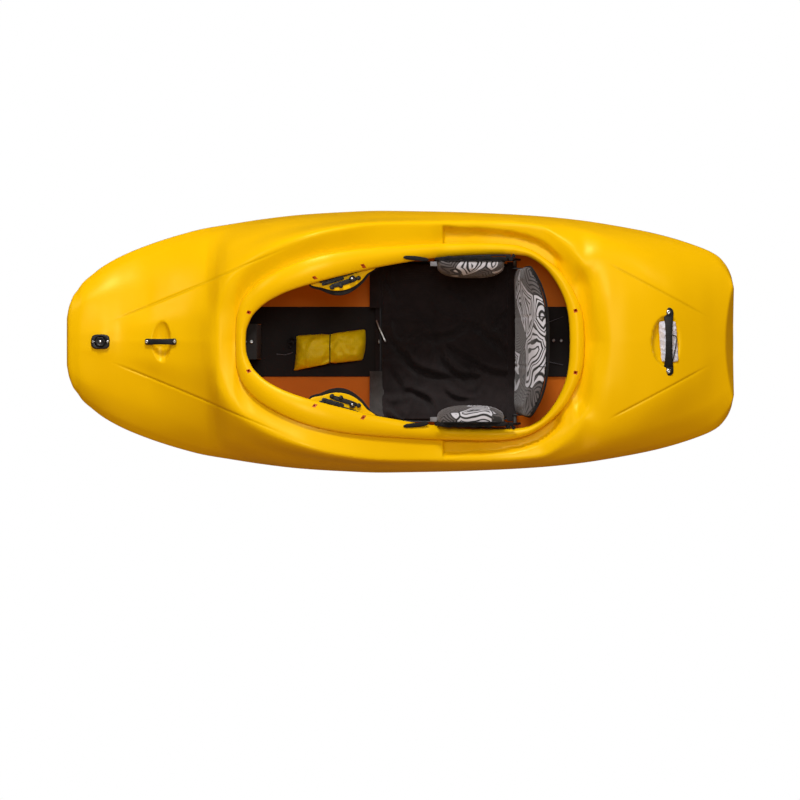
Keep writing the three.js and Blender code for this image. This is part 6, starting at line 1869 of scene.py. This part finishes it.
def split_finish(piece, chosen):
    """Gives the faces whose middles are chosen the second finish."""
    mesh = piece.data
    centres = np.empty(len(mesh.polygons) * 3)
    mesh.polygons.foreach_get("center", centres)
    mesh.polygons.foreach_set("material_index", chosen(centres.reshape(-1, 3)).astype(np.int32))
    mesh.update()


BAND_HALF = SEAT_HALF - 0.018
BAND_BASE = 0.142
BAND_RISE = 0.161
BAND_FULLNESS = 0.0165
PANEL_SEAM = 0.333
EAR_HALF = (0.0152, 0.008)
EAR_THICKNESS = 0.0038


def band_place(u, v, aft=0.0):
    """Point on the backband's front plane, and some way aft of it: it leans back more in its middle."""
    lean = 0.014 + 0.044 * (1 - np.abs(u) ** 3)
    top = RIM_LOWEST + 0.035 - 0.016 * u ** 4
    up = (v + 1) / 2
    return np.stack([BAND_FRONT + lean * up + aft, u * BAND_HALF, BAND_BASE + (top - BAND_BASE) * up], -1)


class KAYAK_OT_backband(bpy.types.Operator):
    """Backband: a stiff curved plate with a padded front in three sewn panels, on its two pins."""

    bl_idname = "kayak.backband"
    bl_label = "Build Backband"

    def execute(self, context):
        u, v = spread_grid(100, 44)
        full = crown(u, v, 14, 7)
        upper = band_place(u, v, 0.018 - BAND_FULLNESS * full)
        lower = band_place(u, v, 0.0255 + 0.0045 * ease(v, 0.88, 0.97))
        pad = stuffed("backband_cushion", upper, lower, 0.005, context.scene.kayak.trim.pressure, 0.0025)
        points = read_points(pad)
        share = points[:, 1] / BAND_HALF
        height = np.clip((points[:, 2] - BAND_BASE) / BAND_RISE, 0, 1)
        plane = band_place(share, height * 2 - 1)[:, 0]
        front = 1 - ease(points[:, 0] - plane, 0.014, 0.022)
        seam = np.exp(-((np.abs(share) - PANEL_SEAM) / 0.013) ** 2) * 0.006
        points[:, 0] += front * (seam - 0.0016 * np.exp(-((np.abs(share) - PANEL_SEAM) / 0.05) ** 2))
        soften(write_points(pad, points))
        settle(pad, "backband", [printed(), black_foam()], ["backband_pad"])
        split_finish(pad, lambda places: places[:, 0] > band_place(
            places[:, 1] / BAND_HALF, (places[:, 2] - BAND_BASE) / BAND_RISE * 2 - 1)[:, 0] + 0.026)
        u, v = edge_loop(220)
        line = band_place(u * 0.998, v, 0.0315)
        binding = sweep("backband_binding", line, 0.0036, 0.003, (1, 0, 0), closed=True, sides=12)
        settle(binding, "backband", piping_cloth())
        for name, at in (("starboard", PANEL_SEAM), ("port", -PANEL_SEAM)):
            v = np.concatenate([np.linspace(-0.93, 1, 60), np.ones(12)])
            over = np.concatenate([np.zeros(60), np.linspace(0.001, 0.013, 12)])
            path = band_place(at + 0 * v, v, 0.0195 - BAND_FULLNESS * crown(at, v, 14, 7) + over)
            line = sweep(f"backband_stitching_{name}", path, 0.0011, 0.0011, (0, 1, 0), sides=8)
            settle(line, "backband", piping_cloth())
        build_band_shell()
        for side, sign in SIDES:
            profile = [
                (0, 0.1943), (0.005, 0.1943), (0.005, SEAT_HALF + 0.0056), (0.008, SEAT_HALF + 0.0056),
                (0.008, SEAT_HALF + 0.0076), (0.0066, SEAT_HALF + 0.0085), (0, SEAT_HALF + 0.0086),
            ]
            profile = [(radius, sign * out) for radius, out in profile]
            pin = revolve(f"backband_pivot_{side}", profile, (PIN_PLACE[0], 0, PIN_PLACE[1]), 32, 1)
            settle(pin, "backband", steel(), [f"backband_pin_{side}"])
        return {"FINISHED"}


def build_band_shell():
    """Curved back plate with three pressed ribs, and the two ears that reach forward to the pins."""
    u, v = spread_grid(110, 40)
    rib = 0.0022 * sum(np.exp(-((v - at) / 0.09) ** 2) for at in (-0.5, 0, 0.5)) * (np.abs(u) < 0.9)
    edge = 0.0012 * ease(np.maximum(np.abs(u) * 0.99, np.abs(v)), 0.96, 1)
    v = (v + 1) * 0.965 - 1
    shell = paired_sheets("band_plate", band_place(u, v, 0.0263 + edge), band_place(u, v, 0.0303 - edge - rib * 0.5))
    ears = []
    for side, sign in SIDES:
        shape = lambda inset: ellipse(EAR_HALF[0] - inset, EAR_HALF[1] - inset, 4)
        rings = rounded_levels(shape, 0, EAR_THICKNESS, 0.0008)
        ear = ringed(f"band_ear_{side}", rings)
        points = read_points(ear)
        out = BAND_HALF - EAR_THICKNESS + points[:, 2]
        along = points[:, 0] + (BAND_FRONT + EAR_HALF[0])
        points = np.stack([along, sign * out, points[:, 1] + PIN_PLACE[1]], -1)
        ears.append(tidy_mesh(write_points(ear, points)))
    settle(joined("backband_plate", [shell, *ears]), "backband", black_plastic(), ["backband_shell"])


# Plan of a thigh brace and of its pad: shares of the track's length along it and inwards from it
BRACE_OUTLINE = (
    (-0.72, 0), (-0.47, 0.17), (-0.28, 0.29), (0, 0.37), (0.26, 0.35), (0.48, 0.26), (0.62, 0.17),
    (0.88, 0.05), (0.88, -0.01), (0.5, -0.14), (0.1, -0.19), (-0.72, -0.19),
)
BRACE_PAD_OUTLINE = (
    (-0.75, 0.04), (-0.52, 0.22), (-0.37, 0.35), (-0.18, 0.45), (0.03, 0.48), (0.26, 0.43), (0.45, 0.35),
    (0.59, 0.26), (0.73, 0.16), (0.95, 0.07), (0.94, 0), (0.5, -0.13), (0.1, -0.17), (-0.7, -0.16),
)
TRACK_LENGTH = 0.104
TRACK_SHARE = 0.4092
BRACE_LEVELS = (-0.005, 0)
BRACE_PAD_LEVELS = (-0.0133, -0.0053)
BRACE_SLOPE = -0.186
BRACE_SKEW = 0.31


def on_brace(piece, sign):
    """Moves a piece from [along the track, inwards, up] to its place beside the rim."""
    along, inward, lift = read_points(piece).T
    track_x = float(station(TRACK_SHARE))
    track_y = float(outline_breadth(RIM_INNER, TRACK_SHARE)) + 0.0035
    top = float(rim_height(track_x)) - 0.0313
    x = track_x + along + inward * BRACE_SKEW
    y = track_y + along * BRACE_SKEW - inward
    return tidy_mesh(write_points(piece, np.stack([x, sign * y, top + lift + (x - track_x) * BRACE_SLOPE], -1)))


class KAYAK_OT_braces(bpy.types.Operator):
    """Thigh braces: hooked plates with foam edges on slotted tracks, with their finger wheels."""

    bl_idname = "kayak.braces"
    bl_label = "Build Thigh Braces"

    def execute(self, context):
        for side, sign in SIDES:
            body = f"{side}_brace"
            outline = smooth_line(np.array(BRACE_OUTLINE) * TRACK_LENGTH, 150, True)
            board = on_brace(plate(f"brace_board_{side}", outline, *BRACE_LEVELS, 0.0016), sign)
            settle(board, body, yellow_plastic(), [f"thigh_brace_{side}"])
            outline = smooth_line(np.array(BRACE_PAD_OUTLINE) * TRACK_LENGTH, 150, True)
            pad = on_brace(plate(f"brace_foam_{side}", outline, *BRACE_PAD_LEVELS, 0.003), sign)
            settle(pad, body, black_foam(), [f"thigh_brace_pad_{side}"])
            self.build_track(side, sign)
            self.build_wheel(side, sign, body)
        return {"FINISHED"}

    def build_track(self, side, sign):
        """Slotted track: an oval bar with a long slot and two screw bosses, and a wing with two nuts beside it."""
        bar = lambda inset: ellipse(0.052 - inset, 0.007 - inset, 6, 96)
        levels = rounded_levels(bar, 0.0003, 0.0078, 0.0012)
        levels += [(ellipse(0.043, 0.0026, 6, 96), 0.0078), (ellipse(0.0426, 0.0022, 6, 96), 0.0022)]
        pieces = [ringed(f"track_bar_{side}", levels)]
        for index, along in enumerate((-0.0485, 0.0485)):
            boss = rounded_levels(lambda inset: circle(0.0034 - inset), 0.0072, 0.0096, 0.0008)
            pieces.append(ringed(f"track_boss_{side}_{index}", boss, (along, 0, 0)))
        wing = lambda inset: ellipse(0.028 - inset, 0.0044 - inset, 6, 96)
        pieces.append(ringed(f"track_wing_{side}", rounded_levels(wing, 0.0004, 0.0066, 0.001), (-0.0195, 0.0095, 0)))
        for index, along in enumerate((-0.04, -0.012)):
            nut = rounded_levels(lambda inset: circle(0.0032 - inset), 0.006, 0.0088, 0.0009)
            pieces.append(ringed(f"track_nut_{side}_{index}", nut, (along, 0.0095, 0)))
        track = on_brace(joined(f"slotted_track_{side}", pieces), sign)
        settle(track, "moulding", black_plastic(), [f"thigh_brace_track_{side}"])

    def build_wheel(self, side, sign, body):
        """Bracket on the plate, with three rivets, a finger wheel and its stud."""
        place = np.array([0.028, 0.018, 0])
        shape = lambda inset: ellipse(0.036 - inset, 0.0058 - inset, 3, 96)
        parts = [ringed(f"bracket_{side}", rounded_levels(shape, 0, 0.0026, 0.0008), (0.004, 0.021, 0))]
        rivets = ((-0.026, 0.0235, 0.0058), (-0.004, 0.0262, 0.0054), (0.043, 0.0205, 0.0056))
        for index, (along, inward, radius) in enumerate(rivets):
            rivet = rounded_levels(lambda inset: circle(radius - inset), 0.0002, 0.0074, 0.0024)
            parts.append(ringed(f"bracket_rivet_{side}_{index}", rivet, (along, inward, 0)))
        bracket = on_brace(joined(f"brace_bracket_{side}", parts), sign)
        settle(bracket, body, black_plastic())
        wheel = lambda inset: lobed(0.0085 - inset, 7, 0.05)
        levels = rounded_levels(wheel, 0.0019, 0.0135, 0.0014)
        levels += [(circle(0.0052, 96), 0.0135), (circle(0.0048, 96), 0.0124)]
        knob = on_brace(ringed(f"brace_wheel_{side}", levels, place), sign)
        settle(knob, body, black_plastic(), [f"thigh_brace_knob_{side}"])
        rings = ((0.0044, 0.0122), (0.0044, 0.0134), (0.0034, 0.014), (0.0031, 0.0164), (0.0021, 0.0171))
        stud = [(circle(radius), height) for radius, height in rings]
        head = on_brace(ringed(f"brace_stud_head_{side}", stud, place), sign)
        settle(head, body, steel(), [f"thigh_brace_stud_{side}"])


BAG_CORNERS = ((-0.2815, 0.0175), (-0.0925, 0.035), (-0.1, -0.05), (-0.289, -0.08))
BAG_WAIST = -0.1885
BAG_FLATNESS = 2.2


class KAYAK_OT_bag(bpy.types.Operator):
    """Kit bag on the front mat: a stuffed nylon pouch drawn in by an elastic, with webbing loops."""

    bl_idname = "kayak.bag"
    bl_label = "Build Kit Bag"

    def execute(self, context):
        trim = context.scene.kayak.trim
        u, v = spread_grid(90, 46)
        plan = self.plan(u, v)
        floor = mat_top(plan[..., 0]) + 0.0006
        full = crown(u, v, 7, 3.2, 0.7)
        upper = np.concatenate([plan, (floor + 0.005 + 0.042 * full)[..., None]], -1)
        lower = np.concatenate([plan, (floor + 0.003 * (1 - full))[..., None]], -1)
        bag = stuffed("kit_bag_pouch", upper, lower, 0.0045, trim.pressure, 0.004)
        points = read_points(bag)
        x, y = points[:, 0], points[:, 1]
        over = ease(points[:, 2] - mat_top(x), 0.006, 0.02)
        draw = np.exp(-(np.abs(x - BAG_WAIST) / 0.03))
        folds = creases(x, y, 3, 20, 1.1, 0.15, 0.006, 0.0034) * (0.35 + draw)
        folds += creases(x, y, 9, 12, 2.6, 1.2, 0.008, 0.0028)
        waist = np.exp(-((x - BAG_WAIST) / 0.011) ** 2)
        points[:, 1] += (0.0225 * (0.5 + (x - BAG_WAIST) * 0.4) - 0.03 - y) * 0.07 * waist
        points[:, 2] += over * (folds - 0.009 * waist)
        soften(write_points(bag, points))
        settle(bag, "moulding", finish("bag_coated_nylon", thin_nylon, tuple(trim.bag)), ["kit_bag"])
        self.build_elastic(points)
        self.build_loops()
        return {"FINISHED"}

    def plan(self, u, v):
        """Plan place of u along the bag and v across it: between its corners, drawn in at the elastic."""
        corners = [np.array(corner) for corner in BAG_CORNERS]
        along = (u[..., None] + 1) / 2
        across = (1 - v[..., None] * (1 - 0.03 * (1 - u[..., None] ** 2))) / 2
        top, low = between(corners[0], corners[1], along), between(corners[3], corners[2], along)
        bulge = np.stack([0.004 * (1 - v ** 2) * u ** 2, 0 * u], -1)
        return between(top, low, across) + bulge

    def build_loops(self):
        """Webbing loops at the bag's fore end, and the thin cord that ties it down."""
        turn = full_turn(40)
        base = float(mat_top(-0.29))
        for index, (x, y, wide) in enumerate(((-0.2895, 0.0035, 0.0095), (-0.2935, -0.0085, 0.0075))):
            height = base + 0.012 + 0.006 * np.cos(turn - 1)
            ring = np.stack([x + wide * np.cos(turn), y + 0.0075 * np.sin(turn), height], -1)
            loop = sweep(f"kit_bag_loop_{index}", ring, 0.0026, 0.0012, sides=10, closed=True)
            settle(loop, "moulding", piping_cloth())
        line = smooth_line([
            (-0.3585, -0.0265, base + 0.004), (-0.345, -0.031, base + 0.0024), (-0.325, -0.0335, base + 0.0022),
            (-0.305, -0.034, base + 0.0026), (-0.288, -0.029, base + 0.008)], 60)
        settle(sweep("kit_bag_cord", line, 0.0014, 0.0014, sides=10), "moulding", thin_cord())

    def build_elastic(self, points):
        """Elastic round the bag's middle: it follows the bag's skin a little outside it."""
        near = points[np.abs(points[:, 0] - BAG_WAIST) < 0.004]
        middle = near.mean(0)
        turn = np.linspace(-math.pi, math.pi, 72, endpoint=False)
        out = near - middle
        angle = np.arctan2(out[:, 2] * BAG_FLATNESS, out[:, 1])
        order = np.argsort(angle)
        skin = np.hypot(out[order, 1], out[order, 2] * BAG_FLATNESS)
        reach = np.interp(turn, angle[order], skin, period=2 * math.pi) + 0.0012
        y, z = middle[1] + reach * np.cos(turn), middle[2] + reach * np.sin(turn) / BAG_FLATNESS
        line = np.stack([0 * turn + BAG_WAIST, y, z], -1)
        line = (np.roll(line, 1, 0) + line * 2 + np.roll(line, -1, 0)) / 4
        band = sweep("kit_bag_elastic", line, 0.0024, 0.0014, (1, 0, 0), closed=True, sides=10)
        settle(band, "moulding", elastic_cord(), ["kit_bag_band"])


# Shares of the length that the backband cords pass, their radius, and half the length of a pull tab
CORD_ROUTE = (0.5603, 0.575, 0.595, 0.62, 0.645, 0.664)
CORD_RADIUS = 0.002
TAB_HALF = 0.033


class KAYAK_OT_cords(bpy.types.Operator):
    """Backband cords along the rim, with their pull tabs."""

    bl_idname = "kayak.cords"
    bl_label = "Build Cords"

    def execute(self, context):
        route = np.array(CORD_ROUTE)
        for side, sign in SIDES:
            x = station(route)
            y = sign * (outline_breadth(RIM_INNER, route) - 0.0026)
            line = smooth_line(np.stack([x, y, rim_height(x) - 0.009], -1), 90)
            radius = CORD_RADIUS * round_ends(np.linspace(-1, 1, len(line)), 0.99)
            cord = sweep(f"band_cord_{side}", line, radius, radius, sides=12)
            braid = finish("black_braided_cord", braided_cord, (0.02, 0.02, 0.022))
            settle(cord, "moulding", braid, [f"backband_cord_{side}"])
            self.build_tab(side, sign)
        return {"FINISHED"}

    def build_tab(self, side, sign):
        """Leaf-shaped pull tab over the rim's edge."""
        share = np.linspace(-1, 1, 70)
        at = share_at(HIP_FRONT - 0.021 - TAB_HALF) + share * TAB_HALF / LENGTH
        x = station(at)
        y = outline_breadth(RIM_INNER, at) + 0.01 * (0.5 - 0.9 * share)
        line = np.stack([x, sign * y, rim_height(x) + 0.0008], -1)
        wide = 0.0058 * (1 - 0.3 * share ** 2) * round_ends(share, 0.7)
        tab = sweep(f"pull_tab_leaf_{side}", line, wide, 0.0021 * round_ends(share, 0.9), power=2.4, sides=20)
        settle(tab, "moulding", black_rubber(), [f"pull_tab_{side}"])


# The list of pieces, in the order they are built

OPERATORS = [
    KAYAK_OT_stage, KAYAK_OT_hull, KAYAK_OT_deck, KAYAK_OT_rim, KAYAK_OT_drain, KAYAK_OT_bow_bar, KAYAK_OT_handle,
    KAYAK_OT_tag, KAYAK_OT_foam, KAYAK_OT_seat, KAYAK_OT_cushion, KAYAK_OT_hips, KAYAK_OT_backband, KAYAK_OT_braces,
    KAYAK_OT_bag, KAYAK_OT_cords,
]


class KAYAK_PT_pieces(bpy.types.Panel):
    """Buttons that build the kayak, with its settings."""

    bl_idname = "KAYAK_PT_pieces"
    bl_label = "Kayak"
    bl_space_type = "VIEW_3D"
    bl_region_type = "UI"
    bl_category = "Kayak"

    def draw(self, context):
        kayak = context.scene.kayak
        for group in (kayak.shell, kayak.rim, kayak.trim, kayak.stage):
            box = self.layout.box()
            for name in group.__annotations__:
                box.prop(group, name)
        for operator in OPERATORS:
            self.layout.operator(operator.bl_idname)


CLASSES = [
    KayakShellSettings, KayakRimSettings, KayakTrimSettings, KayakStageSettings, Kayak, *OPERATORS, KAYAK_PT_pieces,
]


def register():
    """Registers the settings, the operators and the panel."""
    for item in CLASSES:
        bpy.utils.register_class(item)
    bpy.types.Scene.kayak = bpy.props.PointerProperty(type=Kayak)


def unregister():
    """Takes them away again."""
    del bpy.types.Scene.kayak
    for item in reversed(CLASSES):
        bpy.utils.unregister_class(item)


def main():
    """Builds every piece."""
    register()
    for operator in OPERATORS:
        group, name = operator.bl_idname.split(".")
        getattr(getattr(bpy.ops, group), name)()
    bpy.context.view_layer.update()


if __name__ == "__main__":
    main()
